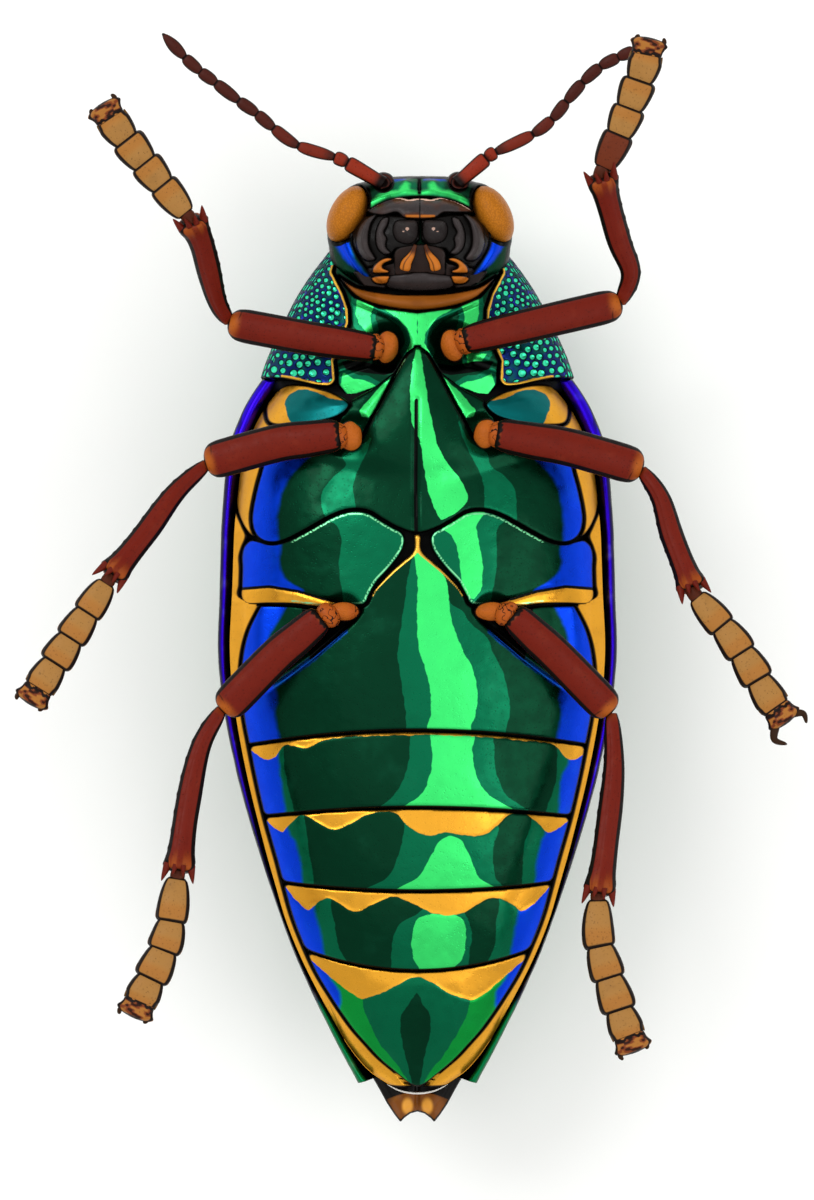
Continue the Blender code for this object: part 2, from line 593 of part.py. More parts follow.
def build_belly(model):
    """The five belly segments, each a slice of the trunk, and the golden rims beside them."""
    front, back = BELLY_PLATE_WIDTH[0][0], BELLY_PLATE_WIDTH[-1][0]
    side = [(smooth(BELLY_PLATE_WIDTH, y), y) for y in spaced(front, back, 18)]
    belly, belly_wide = region_and_wide(model, "belly", both_sides([BELLY_FRONT, *side, BELLY_TIP]))
    helpers = bpy.data.objects

    first = model.part("abdomen_segment_1", trunk("abdomen_segment_1", 3.4, -7.6, 6, (0.0, SHINGLE)), GREEN)
    middle, edge = BELLY_JOINTS[0]
    width = smooth(BELLY_PLATE_WIDTH, edge)
    joint = [(x, middle + SEAM / 2 + (edge - middle) * (x / width) ** 2) for x in spaced(9.0, -9.0, 9)]
    outline = joint + [(-9.0, 4.0), (9.0, 4.0)]
    keep_inside(first, region(model, "segment_1_region", outline, UNDER - 1, OVER + 1))
    keep_inside(first, belly)
    cut(first, helpers["breast_wide"], helpers["coxa_left_wide"], helpers["coxa_right_wide"])

    for number, (front, back) in enumerate(zip(BELLY_JOINTS, BELLY_JOINTS[1:]), start=2):
        last = number == len(BELLY_JOINTS)
        start, end = max(front) + 0.8, -21.5 if last else min(back) - 0.8
        mesh = trunk(f"abdomen_segment_{number}", start, end, 6 if last else 4, (-SHINGLE, SHINGLE))
        segment = model.part(f"abdomen_segment_{number}", mesh, GREEN)
        outline = belly_outline(front, back, 9 if last else 4)
        keep_inside(segment, region(model, f"segment_{number}_region", outline, grow=-SEAM / 2))

    for side, word in ((1, "left"), (-1, "right")):
        outline = mirrored([(SEAM / 2, 4.0), (SEAM / 2, -22.0), (9.0, -22.0), (9.0, 4.0)], side)
        half = region(model, f"rim_{word}_region", outline)
        mesh = trunk(f"abdomen_rim_{word}", 3.7, -21.5, 12, (-SHINGLE, -SHINGLE))
        rim = model.part(f"abdomen_rim_{word}", mesh, GOLD)
        keep_inside(rim, half)
        cut(rim, belly_wide, helpers["breast_wide"])
        cut(rim, helpers[f"coxa_{word}_wide"], helpers[f"flank_{word}_wide"])


def build_prothorax(model):
    """The shield over the back and sides, the plate at the throat, and the chin in front of it."""

    def whole(name, hind, count):
        rings = []
        for y in spaced(hind, 14.4, count):
            width, edge = smooth(PRONOTUM_WIDTH, y), smooth(PRONOTUM_EDGE, y)
            top, back = smooth(PRONOTUM_BELLY, y), smooth(PRONOTUM_BACK, y)
            rings.append(body_ring(y, width, edge, top, back, BREAST_ROUNDNESS, 6, 5))
        return loft(name, rings)

    throat, throat_wide = region_and_wide(model, "throat", both_sides(THROAT_PLATE), THROAT_FLOOR)
    chin, chin_wide = region_and_wide(model, "chin", both_sides(CHIN), CHIN_FLOOR)
    room = region(model, "mouth_room", both_sides(MOUTH_ROOM), THROAT_FLOOR - 1, OVER + 1)
    size = [s + SEAM for s in HEAD_SIZE]
    head_wide = model.helper("head_wide", ball("head_wide", HEAD_CENTRE, size, HEAD_ROUNDNESS, 0, 14, 8))
    spear_wide = bpy.data.objects["spear_wide"]

    pronotum = model.part("pronotum", whole("pronotum", 8.31, 6), PITTED)
    cut(pronotum, throat_wide, head_wide)
    prosternum = model.part("prosternum", whole("prosternum", 7.4, 5), GREEN)
    keep_inside(prosternum, throat)
    cut(prosternum, spear_wide, chin_wide, head_wide, room)
    gula = model.part("gula", whole("gula", 10.5, 3), ORANGE)
    keep_inside(gula, chin)
    cut(gula, head_wide)
    for word in ("left", "right"):
        cut(bpy.data.objects[f"mesosternum_{word}"], throat_wide)
        cut(bpy.data.objects[f"mesepimeron_{word}"], throat_wide)
    cut(bpy.data.objects["metasternum"], throat_wide)


def build_head(model):
    """The head, sunk in the prothorax, with its eyes and the mouthparts in their pit."""
    head = model.part("head", ball("head", HEAD_CENTRE, HEAD_SIZE, HEAD_ROUNDNESS, 0, 14, 8), GREEN)
    inner = [s - SEAM for s in MOUTH_SIZE]
    pit_mesh = ball("mouth_pit", MOUTH_CENTRE, MOUTH_SIZE, MOUTH_ROUNDNESS, 0, 12, 6)
    fill_mesh = ball("mouth_fill", MOUTH_CENTRE, inner, MOUTH_ROUNDNESS, 0, 12, 6)
    pit, fill = model.helper("mouth_pit", pit_mesh), model.helper("mouth_fill", fill_mesh)
    cut(head, pit)

    def mouthpart(name, outline, finish):
        part = model.part(name, prism(name, outline, *MOUTH_HEIGHTS, -SEAM / 2), finish)
        keep_inside(part, fill)

    mouthpart("labrum", both_sides(UPPER_LIP), BROWN)
    mouthpart("labium", both_sides(LOWER_LIP), BROWN)
    for side, word in ((1, "left"), (-1, "right")):
        mouthpart(f"mandible_{word}", mirrored(JAW, side), DARK)
        mouthpart(f"maxilla_{word}", mirrored(CHEEK_PIECE, side), ORANGE)
        centre, turn = (side * EYE_CENTRE[0], *EYE_CENTRE[1:]), side * EYE_TURN
        wide = [s + SEAM for s in EYE_SIZE]
        model.part(f"eye_{word}", ball(f"eye_{word}", centre, EYE_SIZE, 2.0, turn, 8, 6), AMBER)
        cut(head, model.helper(f"eye_{word}_wide", ball(f"eye_{word}_wide", centre, wide, 2.0, turn, 8, 6)))


def build_feelers(model):
    """Eleven beads to a feeler, in one tube that swells between its joints."""
    thin, thick = (width / 2 for width in FEELER_THICKNESS)
    low, high = FEELER_HEIGHT
    for joints, word in ((FEELER_LEFT, "left"), (FEELER_RIGHT, "right")):
        count = len(joints) - 1
        path = [Vector((x, y, low + (high - low) * i / count)) for i, (x, y) in enumerate(joints)]
        points, radii = [path[0]], [thin]
        for i, (start, end) in enumerate(zip(path, path[1:])):
            last = i == count - 1
            points += [start.lerp(end, 0.55), end]
            radii += [thick, FEELER_TIP / 2 if last else thin]
        socket = ball(f"socket_{word}", path[0], [FEELER_SOCKET] * 3, 2.0, 0, 6, 4)
        feeler = loft(f"antenna_{word}", tube_rings(points, radii, sides=5))
        model.part(f"antenna_{word}", feeler, BROWN)
        cut(bpy.data.objects["head"], model.helper(f"socket_{word}", socket))


def path_at(points, first, last):
    """The flat path lifted so that its height runs evenly from first to last."""
    lengths = [0.0]
    for a, b in zip(points, points[1:]):
        lengths.append(lengths[-1] + math.dist(a, b))
    return [Vector((*p, first + (last - first) * at / lengths[-1])) for p, at in zip(points, lengths)]


def foot_mesh(name, path, width, joints):
    """A foot of four cups. Each widens towards the claws and then steps in to the next."""
    line = curve_through(path, 5)
    count = len(line) - 1
    points, radii = [], []
    for start, end, joint_width in zip(joints, joints[1:], FOOT_JOINT_WIDTHS):
        shares = (start + 0.008, (start + end) / 2, end - 0.02)
        sizes = (0.72, 0.97, 0.95)
        for share, size in zip(shares, sizes):
            k = min(int(share * count), count - 1)
            points.append(line[k].lerp(line[k + 1], share * count - k))
            radii.append(width * joint_width * size / 2)
    return loft(name, tube_rings(points, radii, FOOT_FLAT, 6))


def claw_mesh(name, root, along, side, reach):
    """One hooked claw that leaves the last joint, bends to the side and turns back in."""
    across = along.cross(Vector((0, 0, 1))).normalized() * side
    path = [
        root - along * 0.3 + across * 0.2,
        root + along * reach * 0.55 + across * 0.5 + Vector((0, 0, 0.1)),
        root + along * reach + across * 0.35 - Vector((0, 0, 0.2)),
    ]
    return tapered(name, path, CLAW_RADII, 1, 1.0, 4)


def build_leg(model, name, leg):
    pair, word = name.split("_")
    coxa_z, femur_z, knee_z, tibia_z, claw_z = LEG_HEIGHTS[pair]
    centre, size = (*leg["coxa"], coxa_z), COXA_SIZE[pair]
    wide = [s + SEAM for s in size]
    joint = "trochanter" if pair == "hind" else "coxa"
    model.part(f"{pair}_{joint}_{word}", ball(f"{name}_coxa", centre, size, 2.0, 0, 8, 6), ORANGE)
    socket = model.helper(f"{name}_socket", ball(f"{name}_socket", centre, wide, 2.0, 0, 8, 6))
    plates = {
        "fore": ["prosternum"],
        "middle": ["metasternum", f"mesosternum_{word}", f"mesepimeron_{word}"],
        "hind": ["abdomen_segment_1", f"hind_coxal_plate_{word}"],
    }
    for plate in plates[pair]:
        cut(bpy.data.objects[plate], socket)

    half = FEMUR_WIDTH[pair] / 2
    start, middle, end = path_at(leg["femur"], femur_z, knee_z)
    past = end + (end - middle).normalized() * half * 0.75
    radii = [half * 0.72, half * 0.95, half * 0.97, half * 0.92, half * 0.45]
    path = [start, start.lerp(middle, 0.45), middle, end, past]
    femur = model.part(f"{pair}_femur_{word}", tapered(f"{name}_femur", path, radii, 1, 0.8), RED)

    half = TIBIA_WIDTH[pair] / 2
    path = path_at(leg["tibia"], knee_z - 0.1, tibia_z)
    radii = [KNEE_RADIUS, half * 0.7, half * 0.72, half]
    model.part(f"{pair}_tibia_{word}", tapered(f"{name}_tibia", path, radii, 2, 0.8), RED)
    wide = tapered(f"{name}_slot", path, [r + SEAM for r in radii], 2, 0.85)
    cut(femur, model.helper(f"{name}_slot", wide))

    path = path_at(leg["foot"], tibia_z + 0.03, claw_z)
    mesh = foot_mesh(f"{name}_foot", path, FOOT_WIDTH[pair], FOOT_JOINTS[pair])
    foot = model.part(f"{pair}_tarsus_{word}", mesh, TAN)
    along = (path[-1] - path[-2]).normalized()
    reach = LONG_CLAW_LENGTH if name == LONG_CLAWS else CLAW_LENGTH
    for side in (-1, 1):
        claw = claw_mesh(f"{name}_claw_{side}", path[-1], along, side, reach)
        join(foot, model.helper(f"{name}_claw_{side}", claw))


def build_tail(model):
    low, high = TAIL_PLATE_HEIGHTS
    model.part("pygidium", prism("pygidium", both_sides(TAIL_PLATE), low, high), ORANGE)


def main():
    clear_scene()
    model = Model()
    build_back(model)
    build_breast(model)
    build_belly(model)
    build_prothorax(model)
    build_head(model)
    build_feelers(model)
    for name, leg in LEGS.items():
        build_leg(model, name, leg)
    build_tail(model)


main()
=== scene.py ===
"""The looks of the jewel beetle: every plate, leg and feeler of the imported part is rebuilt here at
full detail, around the same named sizes, and lies where the CAD node that it stands for lies.

Lengths are in millimetres until a mesh is made. +Y is the head, +Z the upturned underside, and
+X the beetle's own left.

A list of (y, value) stations gives a size along the body, and (share, value) along a limb; a smooth
curve joins them. A list of (x, y) points is an outline or a line seen from above, and a paired
plate's is given for the left side. A list of (y, left, right) rows holds both edges of a strip of
colour, with None where an edge needs no point.
"""

import math
from functools import reduce

import bmesh
import bpy
import numpy as np
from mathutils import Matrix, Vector
from mathutils.geometry import tessellate_polygon


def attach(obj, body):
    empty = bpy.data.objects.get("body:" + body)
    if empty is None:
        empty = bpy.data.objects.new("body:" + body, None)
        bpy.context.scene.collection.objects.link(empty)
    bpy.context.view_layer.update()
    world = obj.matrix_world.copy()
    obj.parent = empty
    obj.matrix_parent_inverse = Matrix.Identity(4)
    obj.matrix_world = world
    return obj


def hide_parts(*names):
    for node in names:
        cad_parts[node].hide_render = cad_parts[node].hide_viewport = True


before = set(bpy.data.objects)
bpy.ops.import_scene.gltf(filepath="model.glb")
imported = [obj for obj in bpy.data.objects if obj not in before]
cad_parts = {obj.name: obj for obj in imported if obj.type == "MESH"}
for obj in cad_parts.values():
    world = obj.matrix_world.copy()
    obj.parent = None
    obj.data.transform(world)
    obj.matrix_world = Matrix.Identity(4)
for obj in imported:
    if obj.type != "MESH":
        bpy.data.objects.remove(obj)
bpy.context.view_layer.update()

MM = 0.001
BODY = "root"
SIDES = ((1, "left"), (-1, "right"))
DOWN = (0.0, 0.0, -1.0)

SEAM = 0.06  # between two plates
WING_GAP = 0.06  # between the wing cases and the trunk
SHELL = 0.6  # the thickness of a wing case
STEP = 0.085  # the spacing of a plate's mesh
BACK_ROUNDNESS = 2.3
BELLY_ROUNDNESS = 2.3

# ---------------------------------------------------------------- the trunk's widths and heights

WING_CASE_WIDTH = [
    (8.25, 6.6), (7.0, 7.45), (5.5, 7.98), (2.5, 8.27), (-0.8, 8.37), (-3.0, 8.42),
    (-5.3, 8.2), (-8.8, 7.47), (-12.6, 6.32), (-16.0, 5.1), (-19.2, 3.6), (-21.3, 2.5),
]
WING_CASE_RIM = [
    (8.25, 0.8), (6.5, 0.72), (4.5, 0.56), (0.0, 0.5), (-6.8, 0.4), (-8.3, 0.37), (-10.0, 0.32),
    (-11.8, 0.23), (-13.0, 0.18), (-14.2, 0.12), (-15.4, 0.13), (-17.0, 0.2), (-19.0, 0.3), (-21.3, 0.4),
]
TAIL_WIDTH = [
    (-15.4, 5.2), (-16.6, 4.62), (-17.8, 4.04), (-18.4, 3.72), (-19.0, 3.4), (-19.6, 3.0),
    (-20.2, 2.57), (-20.8, 2.02), (-21.3, 1.3), (-21.5, 0.95),
]
BELLY_PLATE_WIDTH = [
    (-1.0, 6.55), (-2.1, 7.1), (-3.1, 7.36), (-4.3, 7.45), (-5.7, 7.33), (-6.8, 7.13), (-8.3, 6.83),
    (-10.0, 6.44), (-11.8, 5.93), (-13.0, 5.62), (-14.2, 5.28), (-15.4, 4.82), (-16.6, 4.27),
    (-17.8, 3.54), (-18.4, 3.14), (-19.0, 2.7), (-19.6, 2.17), (-20.2, 1.62), (-20.8, 0.92), (-21.35, 0.25),
]
HIND_EDGE = [  # the outer edge of the hind coxal plates
    (4.0, 7.8), (3.6, 7.72), (2.85, 7.56), (2.2, 7.28), (1.85, 7.14), (1.42, 7.3), (1.0, 7.42), (0.5, 7.4),
    (-0.2, 7.42), (-0.7, 7.44), (-1.0, 6.9),
]
PRONOTUM_WIDTH = [(8.31, 6.75), (9.6, 6.3), (11.1, 5.6), (12.0, 5.14), (13.0, 4.5), (14.4, 3.4)]
BACK = [
    (8.25, 1.15), (6.0, 0.3), (3.0, -0.12), (0.0, -0.22), (-4.0, -0.12), (-8.0, 0.45),
    (-12.0, 1.55), (-16.0, 3.2), (-19.0, 4.65), (-21.3, 5.9),
]
SIDE_EDGE = [(8.25, 7.7), (5.0, 8.2), (0.0, 8.7), (-5.0, 9.0), (-12.0, 8.95), (-17.0, 8.6), (-21.3, 8.1)]
BELLY = [
    (8.25, 12.0), (6.0, 12.75), (4.0, 13.2), (2.0, 13.45), (-2.0, 13.5), (-5.0, 13.35),
    (-9.0, 12.9), (-13.0, 12.15), (-16.0, 11.3), (-19.0, 10.2), (-21.4, 9.0),
]
TAIL_FLOOR = [(-19.0, 5.5), (-20.3, 7.1), (-21.5, 7.9)]
PRONOTUM_BACK = [(8.31, 1.0), (10.0, 1.55), (12.0, 2.9), (14.4, 5.1)]
PRONOTUM_EDGE = [(8.31, 7.5), (12.0, 7.3), (14.4, 7.2)]
PRONOTUM_BELLY = [(8.31, 11.5), (10.0, 11.5), (12.0, 11.1), (13.0, 10.5), (14.4, 9.2)]
PRONOTUM_REAR = [(0.0, 8.31), (3.2, 8.14), (4.1, 8.16), (5.0, 8.36), (5.8, 8.52), (6.8, 8.6)]  # (x, y)

# ---------------------------------------------------------------- the outlines of the plates

BREAST_PLATE = [
    (0.0, 4.6), (2.2, 5.85), (3.6, 5.85), (4.6, 6.2), (6.15, 6.25), (6.5, 4.8),
    (6.8, 3.7), (6.98, 2.6), (6.8, 1.9), (6.3, 1.58), (5.6, 1.65), (4.65, 2.12),
    (3.6, 2.7), (2.8, 2.95), (2.05, 2.88), (1.4, 2.5), (0.75, 2.15), (0.0, 1.95),
]
SPEAR_TIP, SPEAR_REAR = 9.72, 4.3
SPEAR_SLOPE = 0.87
SPEAR_WIDTH = [
    (SPEAR_TIP, 0.02), (9.6, 0.26), (9.35, 0.48), (8.5, 0.95), (7.4, 1.5), (6.35, 2.08), (5.2, 2.6),
    (4.2, 1.9),
]
SPEAR_RIDGE = [
    (SPEAR_TIP, 12.5), (9.35, 12.8), (8.5, 13.1), (7.4, 13.35), (6.35, 13.5), (5.2, 13.5), (4.0, 13.2),
    (2.5, 12.6),
]
HIND_COXA_PLATE = [
    (0.5, 2.9), (0.5, 2.1), (0.54, 1.45), (0.79, 0.95), (1.28, 0.34), (1.7, -0.12), (1.98, -0.6),
    (2.25, -1.05), (3.2, -1.12), (4.1, -1.15), (5.2, -1.02), (6.3, -1.0), (7.15, -1.02), (7.44, -0.72),
    (7.42, -0.2), (7.4, 0.5), (7.42, 1.0), (7.32, 1.42), (7.02, 1.7), (6.6, 1.9), (5.5, 3.2), (3.0, 3.8),
]
SIDE_PLATE = [
    (5.6, 5.6), (5.9, 6.35), (7.2, 6.38), (9.0, 6.3), (9.2, 5.2), (8.3, 4.3), (7.78, 3.6), (7.6, 2.85),
    (7.3, 2.2), (6.93, 1.82), (6.55, 2.0), (6.3, 2.7), (5.9, 4.0),
]
SIDE_WEDGE = [(5.9, 6.2), (6.1, 6.6), (6.3, 7.6), (6.75, 7.75), (7.4, 7.0), (8.0, 6.2)]
SHOULDER_LOBE = [
    (6.4, 7.0), (6.35, 7.6), (6.0, 8.06), (5.4, 8.26), (4.7, 8.2), (4.1, 8.04), (3.6, 7.88), (3.1, 7.62),
    (2.85, 7.35), (3.1, 7.0), (3.6, 6.74), (4.6, 6.55), (5.6, 6.5), (6.2, 6.6),
]
SHOULDER_TEAL = [
    (5.55, 7.2), (5.5, 7.7), (5.0, 8.0), (4.4, 7.95), (3.6, 7.6), (2.8, 7.4), (3.0, 6.6), (4.0, 6.3),
    (5.1, 6.4),
]
ARM = [  # the green arms beside the spear
    (0.4, 8.75), (1.0, 8.7), (2.0, 7.95), (3.0, 7.4), (3.3, 6.6), (4.3, 6.35), (4.6, 5.6), (3.6, 5.2),
    (2.4, 5.0), (1.6, 6.4), (1.0, 7.6), (0.5, 8.5),
]
ARM_WEDGE = [(0.92, 8.62), (1.6, 8.05), (2.45, 7.1), (2.35, 6.85), (2.05, 6.78), (1.6, 7.4), (1.2, 8.05)]
FORK = [  # half the width of the first segment's point between the coxal plates, as (y, width)
    (2.1, 0.06), (1.85, 0.12), (1.3, 0.13), (1.05, 0.27), (0.77, 0.6), (0.32, 1.12), (-0.23, 1.66),
    (-0.6, 2.05), (-0.8, 2.6), (-0.95, 4.0), (-1.05, 9.0),
]
GROIN = [(2.25, -1.3), (2.62, -1.78), (3.4, -2.45), (4.4, -3.3), (5.4, -4.05), (6.4, -4.75), (7.6, -5.6)]
THROAT_PLATE = [
    (0.0, 8.1), (1.0, 8.15), (2.0, 7.95), (2.95, 7.62), (3.35, 8.2), (3.42, 9.2), (3.05, 10.0),
    (2.8, 10.8), (2.82, 11.4), (3.05, 12.1), (3.5, 13.0), (3.3, 13.8), (3.2, 15.5), (0.0, 15.5),
]
CHIN = [(0.0, 11.3), (1.6, 11.52), (2.6, 11.95), (3.3, 12.8), (2.6, 12.35), (1.4, 12.08), (0.0, 12.0)]
BELLY_JOINTS = [(-6.29, -6.95), (-9.52, -9.95), (-13.04, -12.73), (-16.42, -15.6), (-22.0, -22.0)]
BELLY_FRONT, BELLY_END = 2.2, -21.4
SHINGLE = 0.12  # how far a segment's rear edge stands over the next

# ---------------------------------------------------------------- the head

HEAD_CENTRE = (0.1, 14.5, 7.9)
HEAD_SIZE = (3.85, 2.62, 3.15)
HEAD_ROUNDNESS = 2.8
HEAD_MIDDLE = 0.08  # where the line down the middle of the forehead lies
CHEEK_MIDDLE = 0.1
MOUTH_CENTRE = (0.14, 14.1, 10.5)
MOUTH_SIZE = (2.95, 2.0, 1.3)
MOUTH_ROUNDNESS = 2.2
MOUTH_SHIFT = 0.12
EYE_CENTRE = (3.06, 15.44, 9.0)
EYE_SHIFT = 0.12
EYE_SIZE = (0.77, 1.3, 1.75)
EYE_TURN = math.radians(27)
EYE_ROUNDNESS = 2.6
CHEEK_BLUE = [
    (3.55, 14.3), (3.35, 13.8), (3.0, 13.35), (2.5, 12.95), (2.2, 12.82), (2.45, 13.1), (2.72, 13.5),
    (2.88, 13.95), (3.05, 14.35),
]
CHEEK_TEAL = [
    (3.1, 14.5), (2.95, 13.95), (2.75, 13.6), (2.75, 14.2), (2.7, 14.7), (2.5, 15.1), (2.75, 15.0),
    (3.0, 14.8),
]
EYE_BROW = [(2.02, 17.0), (2.2, 16.6), (2.35, 16.0), (2.5, 15.4), (2.8, 14.85), (3.2, 14.5), (3.6, 14.35)]
FRONS_HIGHLIGHT = [
    (0.42, 16.6), (0.6, 16.72), (0.78, 16.52), (0.92, 16.4), (1.35, 16.36), (1.75, 16.18), (1.95, 15.95),
    (1.7, 15.98), (1.2, 16.16), (0.6, 16.2), (0.1, 16.2), (0.1, 16.28), (0.4, 16.34),
]
FRONS_HIGHLIGHT_LINE = [(1.3, 16.22), (1.9, 15.85), (2.15, 15.45)]
PIT_CORNER = complex(7.2, 13.4)  # the pits of the prothorax grow with their distance from here
PIT_SPACING = 0.085
BACK_PIT_SPACING = 0.42

# ---------------------------------------------------------------- the feelers and legs

FEELERS = {
    "left": [
        (1.68, 16.74), (2.95, 17.82), (3.35, 18.06), (4.91, 18.82), (5.71, 19.46),
        (6.31, 20.2), (7.0, 21.0), (7.75, 21.65), (8.5, 22.03), (9.15, 22.3), (9.8, 22.58),
    ],
    "right": [
        (-1.45, 16.72), (-3.02, 17.62), (-3.55, 17.84), (-5.09, 18.34), (-6.12, 19.09),
        (-6.81, 19.68), (-7.57, 20.22), (-8.54, 20.97), (-9.18, 21.45), (-9.83, 22.04), (-10.74, 23.01),
    ],
}
FEELER_HEIGHT = (9.85, 10.5)
SOCKETS = {"left": (1.72, 16.76), "right": (-1.43, 16.74)}
SOCKET_HEIGHT = 9.85
SOCKET_SLOPE = -0.75
SOCKET_RINGS = [  # radius, height and darkness of each ring of a feeler's socket
    (0.5, -0.3, 1.0), (0.46, -0.08, 1.0), (0.43, 0.0, 0.9), (0.38, 0.03, 0.4), (0.33, 0.02, 0.35),
    (0.29, -0.02, 1.0), (0.25, 0.02, 0.4), (0.2, 0.03, 0.4), (0.15, 0.0, 1.0), (0.02, 0.0, 1.0),
]
LEGS = {
    "fore_right": {
        "coxa": (-1.28, 9.77), "femur": [(-2.02, 9.75), (-4.66, 10.17), (-7.46, 10.7)],
        "tibia": [(-7.94, 10.86), (-8.43, 11.78), (-8.97, 13.93), (-9.42, 14.95)],
        "foot": [(-9.62, 15.2), (-11.08, 16.99), (-12.5, 18.8), (-13.0, 19.55)],
    },
    "fore_left": {
        "coxa": (1.47, 9.84), "femur": [(2.2, 10.1), (5.18, 10.81), (8.1, 11.5)],
        "tibia": [(8.55, 11.66), (8.93, 12.85), (8.4, 14.25), (7.63, 16.8)],
        "foot": [(7.7, 17.1), (8.4, 18.6), (9.3, 21.0), (9.6, 22.25)],
    },
    "middle_right": {
        "coxa": (-2.8, 6.0), "femur": [(-3.5, 6.03), (-5.89, 5.71), (-8.35, 5.05)],
        "tibia": [(-8.85, 4.85), (-10.12, 3.64), (-11.34, 1.94), (-12.75, 0.14)],
        "foot": [(-12.92, -0.13), (-14.26, -2.2), (-15.6, -4.3), (-16.0, -4.95)],
    },
    "middle_left": {
        "coxa": (2.84, 6.1), "femur": [(3.55, 6.04), (6.37, 5.54), (8.9, 4.83)],
        "tibia": [(9.4, 4.6), (10.15, 3.43), (10.63, 1.78), (11.45, -0.4)],
        "foot": [(11.6, -0.7), (13.15, -2.57), (14.6, -4.9), (15.2, -5.75)],
    },
    "hind_right": {
        "coxa": (-3.1, -1.32), "femur": [(-4.0, -1.55), (-5.96, -3.23), (-7.79, -5.1)],
        "tibia": [(-8.2, -5.4), (-9.06, -6.99), (-9.6, -9.5), (-9.94, -12.15)],
        "foot": [(-10.0, -12.4), (-10.42, -14.98), (-11.42, -17.28), (-11.72, -17.95)],
    },
    "hind_left": {
        "coxa": (3.1, -1.32), "femur": [(3.95, -1.45), (5.87, -3.23), (7.75, -5.15)],
        "tibia": [(8.12, -5.6), (8.19, -7.98), (7.85, -11.0), (7.55, -13.1)],
        "foot": [(7.5, -13.3), (7.58, -15.2), (8.4, -17.9), (8.95, -19.4)],
    },
}
LEG_HEIGHTS = {  # the coxa, the femur's start, the knee, the ankle and the claws
    "fore": (11.5, 12.05, 11.4, 14.9, 15.4),
    "middle": (12.75, 13.15, 12.3, 14.9, 15.4),
    "hind": (13.3, 13.75, 13.0, 14.6, 15.2),
}
COXA_SIZE = {"fore": (0.52, 0.73, 0.6), "middle": (0.52, 0.66, 0.55), "hind": (0.72, 0.42, 0.5)}
COLLAR_SIZE = (0.45, 0.56, 0.5)
FEMUR_WIDTH = {"fore": 1.4, "middle": 1.58, "hind": 1.5}
TIBIA_WIDTH = {"fore": 1.25, "middle": 1.2, "hind": 1.25}
CUP_WIDTH = {"fore": 1.44, "middle": 1.42, "hind": 1.5}
FOOT_JOINTS = {
    "fore": (0.0, 0.3, 0.51, 0.73, 1.0), "middle": (0.0, 0.28, 0.5, 0.71, 1.0),
    "hind": (0.0, 0.33, 0.54, 0.76, 1.0),
}
FOOT_POINTS = 200  # the steps along a foot's middle line

# Profiles of a limb as (share along it, share of its full width).
FEMUR = [
    (0.0, 0.58), (0.02, 0.76), (0.1, 0.84), (0.3, 0.92), (0.6, 0.95), (0.86, 0.95), (0.93, 0.92),
    (0.955, 0.82), (0.975, 0.66), (0.988, 0.46), (0.996, 0.25),
]
TIBIA = [
    (0.05, 0.5), (0.15, 0.56), (0.5, 0.76), (0.75, 0.78), (0.88, 0.86), (0.95, 1.0), (0.985, 0.92), (1.0, 0.55),
]
CUP = [
    (0.0, 0.5), (0.06, 0.66), (0.2, 0.82), (0.45, 0.94), (0.7, 1.0), (0.84, 0.98), (0.93, 0.88),
    (0.98, 0.66), (1.0, 0.35),
]
FIRST_CUP = [
    (0.0, 0.5), (0.06, 0.66), (0.25, 0.84), (0.5, 0.96), (0.7, 1.0), (0.86, 0.98), (0.94, 0.87),
    (0.98, 0.66), (1.0, 0.35),
]
LAST_CUP = [
    (0.0, 0.55), (0.1, 0.76), (0.25, 0.9), (0.42, 0.98), (0.55, 1.0), (0.63, 0.93), (0.72, 0.87),
    (0.8, 0.7), (1.0, 0.4),
]
CAP = [
    (0.0, 0.6), (0.1, 0.84), (0.4, 0.9), (0.66, 0.99), (0.8, 0.96), (0.9, 0.8), (0.96, 0.52), (1.0, 0.15),
]
SCAPE = [(0.0, 0.95), (0.2, 0.92), (0.5, 0.98), (0.85, 1.02), (0.95, 0.9), (1.0, 0.5)]
BEAD = [(0.0, 0.5), (0.1, 0.74), (0.3, 0.96), (0.6, 1.04), (0.82, 0.96), (0.94, 0.74), (1.0, 0.42)]
LAST_BEAD = [(0.0, 0.5), (0.2, 0.95), (0.5, 1.1), (0.8, 0.7)]

SPINES = (  # a tibia's end spines: place across it, reach past its end, rise and thickness
    (-0.42, 0.42, 0.1, 0.36), (-0.14, 0.16, 0.32, 0.24), (0.14, 0.12, 0.33, 0.24), (0.42, 0.46, 0.1, 0.36),
)
CLAWS = {  # each claw's root, bend and tip, ahead of the foot's end and to a side, and its thickness
    "middle_left": [
        ((0.0, 0.45), (0.48, 0.88), (0.95, 0.56), 0.18), ((0.0, -0.3), (0.3, -0.8), (0.72, -0.68), 0.16),
    ],
    "others": [
        ((-0.1, 0.42), (0.16, 0.62), (0.36, 0.58), 0.14), ((-0.1, -0.42), (0.14, -0.56), (0.28, -0.48), 0.12),
    ],
}

# ---------------------------------------------------------------- numbers, curves and noise


def smooth(stations, place):
    """The smooth curve through (place, value) stations at every place of an array, level past the ends."""
    at, value = np.array(sorted(stations), float).T
    slope = np.empty_like(value)
    slope[1:-1] = (value[2:] - value[:-2]) / (at[2:] - at[:-2])
    slope[0] = (value[1] - value[0]) / (at[1] - at[0])
    slope[-1] = (value[-1] - value[-2]) / (at[-1] - at[-2])
    place = np.clip(np.asarray(place, float), at[0], at[-1])
    i = np.clip(np.searchsorted(at, place, side="right") - 1, 0, len(at) - 2)
    span = at[i + 1] - at[i]
    t = (place - at[i]) / span
    return (
        (2 * t**3 - 3 * t**2 + 1) * value[i] + (t**3 - 2 * t**2 + t) * span * slope[i]
        + (3 * t**2 - 2 * t**3) * value[i + 1] + (t**3 - t**2) * span * slope[i + 1]
    )


